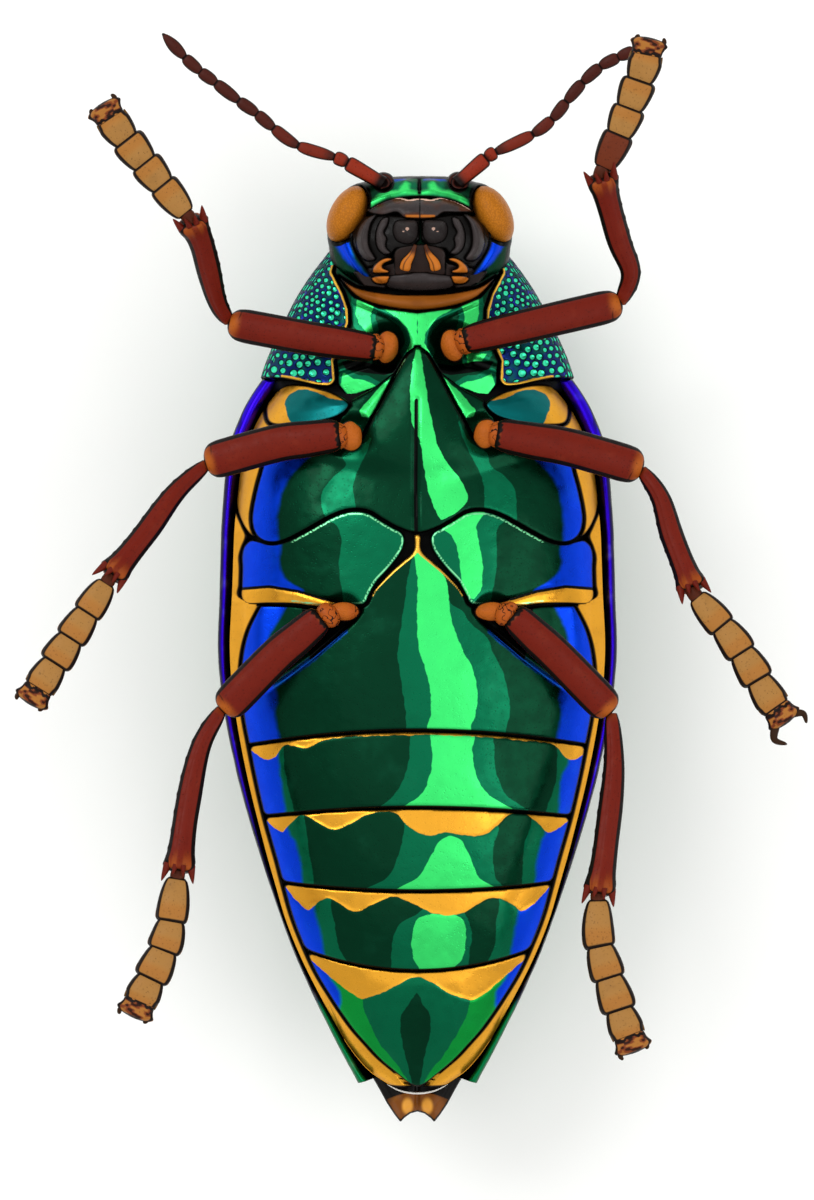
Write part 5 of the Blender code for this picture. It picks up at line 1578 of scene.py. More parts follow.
def shaped_head(points, normal, share, sockets):
    """The head with its mouth pit, lip, forehead, feeler sockets and the orbits of its eyes."""
    x, y, z = points[..., 0], points[..., 1], points[..., 2]
    up = z > 9.4
    far = np.abs(x - HEAD_MIDDLE)
    shape = points.copy()
    floor = MOUTH_CENTRE[2] - MOUTH_SIZE[2] * bowl(share, MOUTH_ROUNDNESS)
    shape[..., 2] = sunk_to(z, floor, np.where(up, rise(share, 1.03, 0.93), 0.0))
    lip = np.where(up, 0.09 * rise(np.abs(share - 1.1), 0.1, 0.0), 0.0)
    groove = -0.12 * rise(far, 0.12, 0.02) * rise(y, 16.2, 16.5) * rise(y, 16.98, 16.8) * up
    swell = 0.1 * rise(np.abs(far - 0.5), 0.45, 0.0) * rise(y, 16.1, 16.5) * rise(y, 16.98, 16.7) * up
    socket = np.where(z > 8.0, -0.12 * rise(sockets, 0.42, 0.2), 0.0)
    shape = shape + normal * (lip + groove + swell + socket)[..., None]
    for side, _ in SIDES:
        u, v, w = eye_frame(shape[..., 0], shape[..., 1], shape[..., 2], side)
        radius, across = ball_radius(u, v, w), np.hypot(u, v)
        shape = shape + normal * (0.07 * rise(radius, 1.25, 1.0) - 0.35 * rise(radius, 1.02, 0.85))[..., None]
        bed = EYE_CENTRE[2] + EYE_SIZE[2] * bowl(across, EYE_ROUNDNESS) - 0.12
        sunk = rise(across, 1.0, 0.96) * (shape[..., 2] > EYE_CENTRE[2])
        shape[..., 2] = sunk_to(shape[..., 2], bed, sunk)
    return shape + normal * (0.015 * (noise(points, 0.3, 4) - 0.5))[..., None]


def head_zones(points, normal, share, sockets):
    """The colours of the head, drawn as lines and patches seen from above."""
    x, y, z = points[..., 0], points[..., 1], points[..., 2]
    up, above = z > 9.4, z > 8.0
    front = up & (y > 15.0)
    far, cheek = np.abs(x - HEAD_MIDDLE), np.abs(x - CHEEK_MIDDLE)

    def only(where, field, elsewhere=-1.0):
        return np.where(where, field, elsewhere)

    zones = {key: np.full(x.shape, -1.0) for key in ZONES}
    frons = np.minimum(y - 16.0, 2.3 - far)
    # Painted reflection tones: the dark patches of the forehead and sides.
    dark = only(up, most(-frons, 0.1 - far, far - 1.05), 1.0)
    low_edge = (z - 7.0) * 0.6 + 1.2 * (noise(points * [0.4, 0.4, 1], 0.5, 5) - 0.5)
    zones["dark"] = np.where(z < 8.6, np.minimum(dark, low_edge), dark)
    # Painted highlights on the forehead.
    zones["bright"] = only(front, np.maximum(inside(far, y, FRONS_HIGHLIGHT), near_line(far, y, FRONS_HIGHLIGHT_LINE, 0.09)))
    patch = least(y - 16.85, 1.1 - far, np.where(x > 0, far - 0.2, far - 0.6))
    blue = inside(cheek, y, closed_curve(CHEEK_BLUE, 5))
    zones["blue"] = only(above, np.maximum(blue, only(front, patch)))
    zones["teal"] = only(above, inside(cheek, y, closed_curve(CHEEK_TEAL, 5)))
    # The last ink here, a dark band where the surface turns to the side, is painted shade.
    inks = [
        only(z > 9.2, 0.46 - sockets), only(up, 0.04 - np.abs(share - 1.0)),
        only(z > 9.2, near_line(np.abs(x - EYE_SHIFT), y, EYE_BROW, 0.06)),
        only(front, np.minimum(0.07 - far, y - 16.2)), only(z > 7.9, 0.11 - np.abs(normal[..., 2] - 0.2)),
    ]
    for side, _ in SIDES:
        u, v, w = eye_frame(x, y, z, side)
        inks += [0.06 - np.abs(ball_radius(u, v, w) - 1.04), only(up, 0.1 - np.abs(np.hypot(u, v) - 1.03))]
    zones["ink"] = most(*inks)
    zones["rim"] = np.full(x.shape, 1.0)
    return zones


def build_head():
    points = head_lattice(190, 420)
    x, y = points[..., 0], points[..., 1]
    normal = ring_normals(points)
    if (normal * (points - np.array(HEAD_CENTRE))).sum() < 0:
        normal = -normal
    share = mouth_share(x, y)
    sockets = least(*[np.hypot(x - socket[0], y - socket[1]) for socket in SOCKETS.values()])
    shape = shaped_head(points, normal, share, sockets)
    zones = head_zones(points, normal, share, sockets)
    dress("head", lofted(shape, zones), HEAD, "emerald_shell", weld=True)


def build_eyes():
    for side, word in SIDES:
        p, t = ball(70, 100, 0.03)
        way = xyz(np.sin(p) * np.cos(t), np.cos(p), np.sin(p) * np.sin(t))
        local = way / ball_radius(way[..., 0], way[..., 1], way[..., 2])[..., None] * np.array(EYE_SIZE)
        x, y = turned(local[..., 0], local[..., 1], side * EYE_TURN)
        points = xyz(x + EYE_SHIFT + side * EYE_CENTRE[0], y + EYE_CENTRE[1], local[..., 2] + EYE_CENTRE[2])
        dress(f"eye_{word}", lofted(points, {}), EYE, "eye_amber", weld=True)


# ---------------------------------------------------------------- the mouth

LABRUM = [
    (-2.15, 15.52), (-1.75, 15.85), (-1.2, 16.13), (-0.75, 16.14), (-0.4, 16.04), (0.1, 16.08), (0.6, 16.04),
    (1.0, 16.14), (1.55, 16.02), (2.0, 15.8), (2.35, 15.5), (1.7, 15.42), (1.1, 15.4), (0.75, 15.18),
    (0.1, 15.12), (-0.55, 15.18), (-0.9, 15.42), (-1.5, 15.3),
]
MANDIBLE_OUTER = [
    (1.8, 15.38), (2.25, 15.25), (2.6, 14.85), (2.74, 14.3), (2.62, 13.75), (2.3, 13.4), (1.85, 13.45),
    (2.1, 13.95), (2.15, 14.4), (2.05, 14.95),
]
MANDIBLE_INNER = [
    (1.3, 15.25), (1.62, 15.2), (1.85, 14.8), (1.92, 14.35), (1.82, 13.9), (1.5, 13.62), (1.2, 13.72),
    (1.42, 14.0), (1.38, 14.35), (1.5, 14.6), (1.35, 14.9),
]
MANDIBLE_KNOB = [
    (0.12, 15.1), (0.6, 15.16), (1.05, 15.1), (1.2, 14.7), (1.05, 14.25), (0.6, 14.05), (0.25, 14.15),
    (0.06, 14.5),
]
MANDIBLE_BED = [
    (0.03, 15.15), (0.8, 15.3), (1.5, 15.36), (2.3, 15.3), (3.0, 14.6), (2.9, 13.4), (2.3, 13.1), (1.5, 13.3),
    (1.05, 13.9), (0.4, 13.95), (0.03, 14.3),
]
MAXILLA_HOOK = [
    (1.15, 13.5), (1.4, 13.55), (1.7, 13.45), (1.98, 13.2), (2.05, 12.98), (1.95, 12.86), (1.35, 12.86),
    (1.3, 13.0), (1.55, 13.12), (1.5, 13.25), (1.2, 13.38),
]
MAXILLA_FOOT = [(1.3, 12.8), (1.9, 12.8), (2.1, 12.7), (1.9, 12.46), (1.45, 12.42), (1.3, 12.6)]
MAXILLA_BED = [(1.05, 13.35), (2.0, 13.15), (2.85, 13.0), (2.4, 12.35), (1.5, 12.25), (1.0, 12.7)]
PALP = [(0.2, 14.05), (0.36, 13.65), (0.58, 13.3), (0.66, 12.98)]
PALP_WIDTH = [(0.0, 0.14), (0.35, 0.3), (0.75, 0.5), (0.95, 0.42), (1.0, 0.1)]
MENTUM = [
    (-1.35, 12.75), (-0.6, 12.88), (0.1, 12.95), (0.8, 12.88), (1.55, 12.75), (1.4, 12.25), (0.1, 12.12),
    (-1.2, 12.25),
]
LABIUM_BED = [(-0.9, 13.9), (0.12, 14.1), (1.1, 13.9), (1.2, 13.2), (1.0, 12.7), (-0.8, 12.7), (-1.0, 13.2)]
MOUTH_VALUES = {"brown": 0.0, "warm": 0.0, "pale": 0.0, "deep": 0.0}


def pillow(outline, height, low, base=mouth_dome, steps=4, rounding=0.2, bumps=None, **values):
    """A rounded form of the mouth over an outline seen from above, this high over its base.

    bumps and the values may be functions of x, y and the distance inside the outline.
    """
    outline = curve_through(outline, steps, True) if steps else np.array(outline)
    (low_x, low_y), (high_x, high_y) = outline.min(0) - 0.1, outline.max(0) + 0.1
    x, y = plan(low_x, high_x, low_y, high_y, 0.05)
    field = inside(x, y, outline)
    z = base(x, y) + height * rise(field, 0.0, rounding * 2) + low
    if bumps is not None:
        z = z + bumps(x, y, field)
    z = z + 0.02 * (noise(xyz(x, y, z), 0.25, 6) - 0.5)
    given = {
        key: value(x, y, field) if callable(value) else np.full(x.shape, value)
        for key, value in {**MOUTH_VALUES, **values}.items()
    }
    return trimmed(xyz(x, y, z), field, given, DOWN, 0.8, rounding)


def labrum_relief(x, y, _):
    far = np.abs(x - 0.1)
    return 0.05 * rise(np.abs(far - 0.9), 0.4, 0.0) - 0.06 * rise(far, 0.12, 0.02)


def labrum_crest(x, y, depth):
    return rise(np.abs(depth - 0.07), 0.05, 0.015) * rise(y, 15.45, 15.7)


def labrum_lobe(x, y, _):
    return 0.9 * rise(np.minimum(0.62 - np.abs(x - 0.12), 0.05 - np.abs(y - 15.27)), -0.04, 0.04)


def labrum_line(x, y, _):
    return rise(np.abs(x - 0.1), 0.06, 0.02) * rise(y, 15.0, 15.2)


def labrum_tone(x, y, _):
    return 0.75 * rise(noise(xyz(x, y, y), 0.4, 8), 0.2, 0.8)


def knob_glints(x, y, _):
    far = np.abs(x - MOUTH_SHIFT)
    large, small = np.hypot(far - 0.55, y - 14.72), np.hypot(far - 0.72, y - 14.6)
    return rise(large, 0.09, 0.05) + rise(small, 0.05, 0.02)


def horn_specks(x, y, _):
    return 0.3 * rise(noise(xyz(x, y, y), 0.15, 17), 0.5, 0.7)


def build_labrum():
    labrum = pillow(
        LABRUM, 0.1, 0.0, lip_bed, bumps=labrum_relief, brown=labrum_tone, warm=labrum_lobe,
        pale=labrum_crest, deep=labrum_line,
    )
    dress("labrum", labrum, MOUTH, "mouth_horn")


def build_jaws():
    """The mandibles and the maxillae."""
    for side, word in SIDES:

        def placed(outline, side=side):
            return [(side * px + MOUTH_SHIFT, py) for px, py in outline]

        mandible = merged(
            pillow(placed(MANDIBLE_OUTER), 0.22, 0.02, brown=0.15),
            pillow(placed(MANDIBLE_INNER), 0.2, 0.0, rounding=0.18),
            pillow(placed(MANDIBLE_KNOB), 0.26, 0.02, rounding=0.3, pale=knob_glints, deep=0.5),
            pillow(placed(MANDIBLE_BED), 0.0, -0.2, steps=0, rounding=0.1, deep=0.85),
        )
        dress(f"mandible_{word}", mandible, MOUTH, "mouth_horn")
        maxilla = merged(
            pillow(placed(MAXILLA_HOOK), 0.16, 0.15, rounding=0.1, warm=0.95, pale=horn_specks),
            pillow(placed(MAXILLA_FOOT), 0.16, 0.12, rounding=0.1, warm=0.95, pale=horn_specks),
            pillow(placed(MAXILLA_BED), 0.0, -0.1, steps=0, rounding=0.1, brown=0.4, deep=0.6),
        )
        dress(f"maxilla_{word}", maxilla, MOUTH, "mouth_horn")


def palp(side):
    """A feeler of the mouth."""
    line = curve_through([(side * px + MOUTH_SHIFT, py) for px, py in PALP], 8)
    share = np.linspace(0, 1, len(line))
    width = smooth(PALP_WIDTH, share)
    height = mouth_dome(line[:, 0], line[:, 1]) + 0.1
    rings, angle = tube(np.column_stack([line, height]), width, width * 0.8, 20)
    crease = 0.7 * rise(np.abs(angle - np.pi / 2 + 0.3), 0.12, 0.04)
    values = {key: np.zeros(angle.shape) for key in MOUTH_VALUES}
    # deep is painted shade along both sides, with a crease line.
    values.update(
        warm=np.broadcast_to(rise(share, 0.1, 0.5)[:, None], angle.shape), brown=np.ones(angle.shape),
        rim=np.ones(angle.shape), deep=np.maximum(rise(np.abs(np.cos(angle)), 0.82, 0.95), crease),
    )
    return lofted(rings, values)


def mentum_relief(x, y, _):
    return 0.05 * rise(np.abs(np.abs(x - 0.1) - 0.35), 0.3, 0.0)


def build_labium():
    """The lower lip, with both palps."""
    labium = merged(
        palp(1), palp(-1), pillow(MENTUM, 0.12, 0.0, bumps=mentum_relief, deep=0.2),
        pillow(LABIUM_BED, 0.0, -0.12, rounding=0.1, brown=0.5, deep=0.6),
    )
    dress("labium", labium, MOUTH, "mouth_horn")


# ---------------------------------------------------------------- wing cases, core and tail

BACK_POWER, BELLY_POWER = 2 / BACK_ROUNDNESS, 2 / BELLY_ROUNDNESS
OUTSIDE = 130  # the points round a wing case's outside, from the back's middle line to its side edge
RIM_START, RIM_END = OUTSIDE - 4, OUTSIDE + 24


def arc(half, level, rise_by, turn, power):
    """A quarter of a section from its middle to its side edge, as (x, z)."""
    z = level + rise_by * np.maximum(np.cos(turn), 0) ** power
    return np.stack([half * np.sin(turn) ** power, z], -1)


def wing_section(y, quarter):
    """The outside, the rolled rim and the inside of a wing case."""
    width, inner = float(smooth(WING_CASE_WIDTH, y)), float(inner_width(y))
    edge, back = float(smooth(SIDE_EDGE, y)), float(smooth(BACK, y))
    thick = width - inner
    crown = 0.62 * min(1.0, 0.5 + thick)
    rim = curve_through([
        (width, edge), (width, edge + 0.35 * crown), (width - 0.1 * thick, edge + 0.72 * crown),
        (width - 0.34 * thick, edge + crown), (width - 0.62 * thick, edge + 0.97 * crown),
        (inner + 0.16 * thick, edge + 0.8 * crown), (inner + 0.04 * thick, edge + 0.5 * crown), (inner, edge),
    ], 4)[1:-1]
    outside = arc(width, edge, back - edge, quarter, BACK_POWER)
    inside_arc = arc(inner, edge, back + SHELL - edge, quarter[::-6], BACK_POWER)
    section = np.concatenate([outside, rim, inside_arc])
    section[:, 0] = np.maximum(section[:, 0], SEAM / 2)
    return section


def wing_pits(points):
    """How far each point lies from the edge of the nearest of the pits, set loosely in rows."""
    rng = np.random.default_rng(5)
    centres, radii = [], []
    for row in range(4, 276, 5):
        for line in range(8, 122, 6):
            i = int(np.clip(row + rng.integers(-2, 3), 0, 278))
            centres.append(points[i, line + rng.integers(-1, 2)])
            radii.append(rng.uniform(0.045, 0.1))
    return nearest_edge(points, np.array(centres), np.array(radii))


def wing_zones(x, y, z, ys, column, pit):
    """The colours of the green back, the rolled violet rim with a painted highlight of lighter violet along its
    crest and at the shoulders, and the bare tip.
    """
    width, edge = smooth(WING_CASE_WIDTH, ys)[:, None], smooth(SIDE_EDGE, ys)[:, None]
    within = column >= RIM_END
    on_rim = (column >= RIM_START) & ~within
    across = (width - x) / np.maximum(width - inner_width(ys)[:, None], 0.1)
    high = rise(z, edge - 3.0, edge)
    tip = rise(y, -17.2, -18.6)
    streak = rise(noise(xyz(x * 4, y * 0.5, z), 0.7, 21), 0.3, 0.5)
    # Painted highlight: lighter violet along the crest of the rim and at the shoulders, over the rim's own dark
    # violet.
    line = rise(np.abs(across - 0.42), 0.2, 0.1)
    blue = on_rim * np.maximum(rise(y, 4.0, 6.5) * (0.35 + 0.65 * streak), 0.9 * line) * rise(y, -17.0, -6.0)
    ink = np.where(within, 1.0, on_rim * np.maximum(rise(across, 0.8, 0.95), rise(across, 0.14, 0.0)))
    ink = np.maximum(ink, on_rim * 0.75 * rise(y, -8.0, -12.0) * rise(y, -18.5, -17.5))
    return {
        "flank": high * 0.9 * (1 - tip), "blue": blue,
        "dark": np.maximum(rise(high, 0.75, 1.0), on_rim * 1.0) * (1 - tip), "bright": tip,
        "ink": ink * np.where(within, 1.0, 1 - 0.7 * tip), "pit": pit,
    }


def build_wing_cases():
    """The two wing cases, with fine ribs and pits and a rolled rim."""
    ys = np.concatenate([np.linspace(8.25, 5.0, 40), np.linspace(5.0, -21.3, 240)[1:]])
    quarter = np.linspace(0, np.pi / 2, OUTSIDE)
    sections = np.array([wing_section(y, quarter) for y in ys])
    x, z = sections[..., 0], sections[..., 1]
    column = np.broadcast_to(np.arange(x.shape[1])[None], x.shape)
    outside = column < OUTSIDE
    tail = rise(-ys, 20.6, 21.3)[:, None]
    front = rise(ys, 6.5, 8.25)[:, None] * rise(z, 4.0, 8.0)
    y = ys[:, None] - 0.4 * tail * ((x / smooth(WING_CASE_WIDTH, ys)[:, None]) ** 2 - 1)
    y = y + front * (smooth(PRONOTUM_REAR, x) - PRONOTUM_REAR[0][1] - 0.04)
    points = xyz(x, y, z)
    normal = ring_normals(points)
    middle = points[:, :OUTSIDE].mean((0, 1)) - [3, 0, -3]
    if (normal[:, :OUTSIDE] * (points[:, :OUTSIDE] - middle)).sum() < 0:
        normal = -normal
    pit = np.full(x.shape, 1.0)
    pit[:, :OUTSIDE] = wing_pits(points[:, :OUTSIDE])
    ribs = np.where(outside, 0.03 * np.sin(column / 6.0 * 2 * np.pi) * rise(x, 0.5, 2.0), 0.0)
    depth = 0.05 * rise(pit, 0.02, -0.05) - ribs + 0.02 * noise(points, 0.7, 12)
    shape = points - normal * depth[..., None]
    shape[..., 2] = np.where(outside, np.maximum(shape[..., 2], 0.0), shape[..., 2])
    shape[..., 0] = np.maximum(shape[..., 0], SEAM / 2)
    zones = wing_zones(x, y, z, ys, column, pit)
    for side, word in SIDES:
        dress(f"wing_case_{word}", lofted(shape * [side, 1, 1], zones), WING, "emerald_shell", weld=True)


def ring_at(y, loop):
    return np.column_stack([loop[:, 0], np.full(len(loop), y), loop[:, 1]])


def trunk_ring(y, turn):
    edge = float(smooth(SIDE_EDGE, y)) - 0.1
    width, top = float(trunk_width(y)) - 0.25, float(smooth(BELLY, y)) - 0.62
    low = float(trunk_floor(y)) + 0.25
    above = arc(width, edge, top - edge, turn, BELLY_POWER)
    below = arc(width, edge, -max(edge - low, 0.1), turn, BACK_POWER)[::-1]
    return ring_at(y, closed_loop(np.concatenate([above, below[1:]])))


def prothorax_ring(y, angle):
    width, edge = float(smooth(PRONOTUM_WIDTH, y)) - 0.5, float(smooth(PRONOTUM_EDGE, y))
    top, low = float(smooth(PRONOTUM_BELLY, y)) - 0.75, float(smooth(PRONOTUM_BACK, y)) + 0.5
    z = edge + np.where(np.cos(angle) > 0, top - edge, edge - low) * np.cos(angle)
    return ring_at(y, np.stack([width * np.sin(angle), z], -1))


def build_core():
    """The membranes under the plates, painted near-black as the shade deep in the seams between them, where
    alone they are seen.
    """
    turn = np.linspace(0, np.pi / 2, 24)
    trunk = lofted(np.array([trunk_ring(y, turn) for y in np.linspace(8.2, -21.2, 90)]), {})
    angle = np.linspace(0, 2 * np.pi, 64, endpoint=False)
    front = lofted(np.array([prothorax_ring(y, angle) for y in np.linspace(13.6, 8.0, 40)]), {})
    ys = np.linspace(7.5, -21.0, 90)
    middle = np.column_stack([0 * ys, ys, smooth(BACK, ys) + SHELL])
    suture, _ = tube(middle, np.full(90, 0.4), np.full(90, SHELL * 0.9), 12)
    make_object("body_core", *merged(trunk, front, lofted(suture, {})), CORE_SEAM_SHADE, None, None, weld=True)


TAIL = [
    (0.0, -20.6), (1.75, -20.7), (1.95, -21.05), (1.62, -21.62), (1.28, -22.25), (0.98, -22.7),
    (0.72, -23.02), (0.55, -22.84), (0.3, -22.66), (0.0, -22.59),
]
TAIL_HIGHLIGHT = [(-1.3, -21.4), (-0.7, -21.68), (0.0, -21.78), (0.7, -21.68), (1.3, -21.4)]


def build_tail():
    """The tail plate, with a painted highlight crescent at its front."""
    x, y = plan(-2.05, 2.05, -23.1, -20.5, 0.045)
    far = np.abs(x)
    field = inside(x, y, both_sides(TAIL))
    z = 7.42 - 0.25 * rise(field, 0.4, 0.0) + 0.16 * rise(np.abs(far - 0.6), 0.5, 0.0) * rise(y, -21.4, -22.2)
    z = z - 0.12 * rise(far, 0.15, 0.02)
    warm = rise(np.hypot((far - 0.42) * 1.2, (y + 22.32) * 0.8), 0.45, 0.08)
    corners = 0.5 * rise(far * 0.5 + (y + 22.3) * 0.3, 0.42, 0.7)
    # deep is painted shade along the plate's edge and across its front, which lies under the last segment's
    # end, and also darkens its corners.
    deep = most(rise(field, 0.11, 0.05), rise(y + 0.2 * x * x, -21.78, -21.68), corners)
    plate = trimmed(xyz(x, y, z), field, {"warm": warm, "deep": deep}, DOWN, 0.35, 0.1)
    # A painted highlight: the thin pale crescent.
    crescent = curve_through(TAIL_HIGHLIGHT, 10)
    share = np.linspace(0, 1, len(crescent))
    width = 0.08 * np.sin(np.pi * share) ** 0.6 + 0.01
    rings, angle = tube(np.column_stack([crescent, 7.5 + 0 * share]), width, width, 14)
    pale = lofted(rings, {"pale": np.full(angle.shape, 1.0)})
    dress("pygidium", merged(plate, pale), TAIL_HORN, "joint_horn")


# ---------------------------------------------------------------- limbs


def path_at(points, first, last):
    """A line seen from above at heights that change evenly along it."""
    lengths = [0.0]
    for a, b in zip(points, points[1:]):
        lengths.append(lengths[-1] + math.dist(a, b))
    return [np.array((*p, first + (last - first) * at / lengths[-1])) for p, at in zip(points, lengths)]


def even(path, count):
    """The path as evenly spaced points."""
    path = np.asarray(path)
    run = running_length(path)
    at = np.linspace(0, run[-1], count)
    return np.stack([np.interp(at, run, path[:, k]) for k in range(3)], -1)


def scaled(profile, width, *ends):
    """A limb's profile at this width, with further stations that are already widths."""
    return [(at, width * part) for at, part in profile] + list(ends)


def limb(path, profile, count, sides, flat, paint, relief=None):
    """A limb along a path. profile gives its width along 0 to 1; paint and relief take
    (share along, angle round) and give attributes and a change of radius."""
    points = even(curve_through(path, 12), count)
    share = np.linspace(0, 1, count)
    widths = np.maximum(smooth(profile, share), 0.02)
    rings, angle = tube(points, widths, widths * flat, sides, roundness=2.2)
    along = np.broadcast_to(share[:, None], angle.shape)
    if relief is not None:
        out = unit(rings - points[:, None])
        rings = rings + out * relief(along, angle)[..., None]
    return lofted(rings, {key: value + 0 * along for key, value in paint(along, angle).items()})


def side_shade_line(angle, first, full):
    """Painted shade: the dark line along both upper edges of a limb, where its sides turn away."""
    return rise(np.abs(np.cos(angle)), first, full) * rise(np.sin(angle), 0.04, 0.18)


def keel(angle, height):
    """A raised edge along both sides of a limb."""
    return height * rise(np.abs(np.cos(angle)), 0.85, 1.0)


def thorn(line, size, sides, up=(0, 0, 1), **values):
    """A thin horn along a line, of one colour."""
    rings, angle = tube(line, size, size, sides, up)
    return lofted(rings, {key: np.full(angle.shape, value) for key, value in values.items()})


def spike(root, tip, width, **values):
    """A small straight spine."""
    line = curve_through([root, (root + tip) / 2, tip], 7)
    size = width * (1 - np.linspace(0, 1, len(line))) ** 0.75 + 0.03
    up = (0, 0, 1) if abs(unit(tip - root)[2]) < 0.9 else (0, 1, 0)
    return thorn(line, size, 12, up, **values)


def ellipsoid(centre, size, turn, values):
    """A ball with these half sizes. A value may be a function of its polar and turning angles."""
    p, t = ball(32, 48, 0.04)
    local = xyz(np.cos(p), np.sin(p) * np.cos(t), np.sin(p) * np.sin(t)) * np.array(size)
    x, y = turned(local[..., 0], local[..., 1], turn)
    points = xyz(x, y, local[..., 2]) + np.array(centre)
    points = points + 0.05 * (noise(points, 0.35, 14) - 0.5)[..., None]
    given = {key: value(p, t) if callable(value) else value for key, value in values.items()}
    return lofted(points, {key: value + 0 * p for key, value in given.items()})


# ---------------------------------------------------------------- the parts of a leg


def build_coxa(pair, word, centre, start, turn):
    joint = "trochanter" if pair == "hind" else "coxa"
    knob = ellipsoid(centre, COXA_SIZE[pair], 0.0 if pair == "hind" else turn, {
        "crack": lambda p, t: rise(np.cos(p), 0.55, 0.8),
        "warm": lambda p, t: 0.5 * rise(np.cos(p), 0.9, 0.2),
        # Painted shade: the ball darkens toward its outline seen from above.
        "deep": lambda p, t: rise(np.hypot(np.sin(p) * np.cos(t), np.cos(p)), 0.87, 0.95),
    })
    plain = {"crack": 1.0, "warm": 0.1, "deep": 0.0}
    collar = ellipsoid(centre * 0.3 + start * 0.7, COLLAR_SIZE, turn, plain)
    dress(f"{pair}_{joint}_{word}", merged(knob, collar), CRACKLE, "joint_horn")


def femur_paint(along, angle):
    bend = along - 0.935 + 0.02 * np.sin(angle * 2)
    crease = rise(np.abs(bend), 0.009, 0.002) * rise(np.cos(angle), 0.1, 0.5)
    ragged = along + 0.012 * np.sin(angle * 9) * np.sin(angle * 4 + 1)
    # Painted shade: dark lines along both upper edges and round the very tip, where the surface turns away.
    root, tip = 0.9 * rise(ragged, 0.035, 0.015), rise(along, 0.972, 0.986)
    blush = rise(along, 0.86, 0.975) * (0.6 + 0.35 * np.cos(angle * 2) ** 2)
    return {
        "warm": blush + 0.5 * rise(along, 0.05, 0.0),
        "deep": most(side_shade_line(angle, 0.77, 0.86), 0.6 * crease, root, tip),
    }


def femur_relief(along, angle):
    return keel(angle, 0.05) * rise(along, 0.02, 0.1) * rise(along, 0.97, 0.85)


def build_femur(pair, word, start, middle, end):
    width = FEMUR_WIDTH[pair]
    past = end + unit(end - middle) * width * 0.375
    path = [start, start * 0.5 + middle * 0.5, middle, end, past]
    femur = limb(path, scaled(FEMUR, width, (1.0, 0.05)), 150, 56, 0.8, femur_paint, femur_relief)
    dress(f"{pair}_femur_{word}", femur, RED, "leg_horn")


def tibia_paint(along, angle):
    streak = rise(noise(xyz(angle * 1.5, along * 3, angle), 0.6, 31), 0.4, 0.6)
    return {
        "warm": rise(along, 0.8, 1.0) * (0.3 + 0.25 * streak) + 0.35 * rise(along, 0.1, 0.0),
        # Painted shade along both upper edges, and a dark end at the joint.
        "deep": np.maximum(side_shade_line(angle, 0.68, 0.8), rise(along, 0.985, 1.0)),
    }


def tibia_relief(along, angle):
    furrow = -0.03 * rise(np.abs(np.abs(angle - np.pi / 2) - 0.5), 0.25, 0.0)
    teeth = 0.02 * np.maximum(np.sin(along * 60), 0) ** 3 * rise(np.cos(angle), 0.9, 1.0)
    lip = 0.05 * np.sin(angle * 5 + 1) * rise(along, 0.93, 0.97)
    return (keel(angle, 0.04) + furrow + teeth) * rise(along, 0.02, 0.15) * rise(along, 1.0, 0.93) + lip


def build_tibia(pair, word, path):
    width = TIBIA_WIDTH[pair]
    shin = limb(path, scaled(TIBIA, width, (0.0, 0.45)), 150, 48, 0.8, tibia_paint, tibia_relief)
    tip, ahead = path[-1], unit(path[-1] - path[-2])
    aside = unit(np.cross(ahead, [0, 0, 1]))
    spines = []
    for offset, reach, lift, thick in SPINES:
        root = tip + aside * offset * width * 0.9 - ahead * 0.3 + np.array([0, 0, lift * width])
        point = root + ahead * (reach + 0.3) + aside * offset * 0.45
        spines.append(spike(root, point, thick, warm=0.15, deep=0.35))
    dress(f"{pair}_tibia_{word}", merged(shin, *spines), RED, "leg_horn")


def ankle_paint(along, angle):
    return {"rust": 0.8, "deep": 0.55}


def cup_painter(first, last, brown):
    """The paint of one joint of a foot; brown is how dark brown the joint is."""

    def paint(along, angle):
        seam = rise(along, 0.7, 0.74) if last else rise(along, 0.86, 0.93)
        if first:
            seam = np.maximum(seam, rise(along, 0.07, 0.02))
        blush = rise(along, 0.35, 0.7) * rise(along, 0.95, 0.86)
        return {
            "warm": 0.6 * blush * (1 - brown), "rust": np.maximum(brown, 0.3 * blush),
            # Painted shade: dark lines along both upper edges; the seams are dark joints.
            "deep": most(side_shade_line(angle, 0.71, 0.82), seam, 0.45 * brown),
        }

    return paint


def cup_relief(along, angle):
    return 0.02 * np.sin(angle * 7 + 2) * rise(along, 0.6, 0.9) * rise(np.abs(np.cos(angle)), 0.7, 1.0)


def cap_paint(along, angle):
    # Painted shade along both upper edges and round the end.
    edge = np.maximum(side_shade_line(angle, 0.84, 0.93), rise(along, 0.88, 0.95))
    jag = along - 0.2 - 0.09 * np.sin(angle * 9 + 1) * np.sin(angle * 4)
    patch = noise(xyz(angle * 2.2, along * 5, angle * 0), 0.7, 41)
    return {
        "rust": 0.35 + 0.4 * rise(patch, 0.66, 0.54), "warm": rise(patch, 0.5, 0.6),
        "deep": most(edge, rise(np.abs(jag), 0.12, 0.05), 0.7 * rise(patch, 0.42, 0.34)),
    }


def cap_relief(along, angle):
    ripple = 0.03 * np.sin(angle * 6 + 1) * rise(along, 0.2, 0.6)
    return ripple + 0.05 * rise(np.abs(along - 0.7), 0.18, 0.0) * np.cos(angle) ** 6


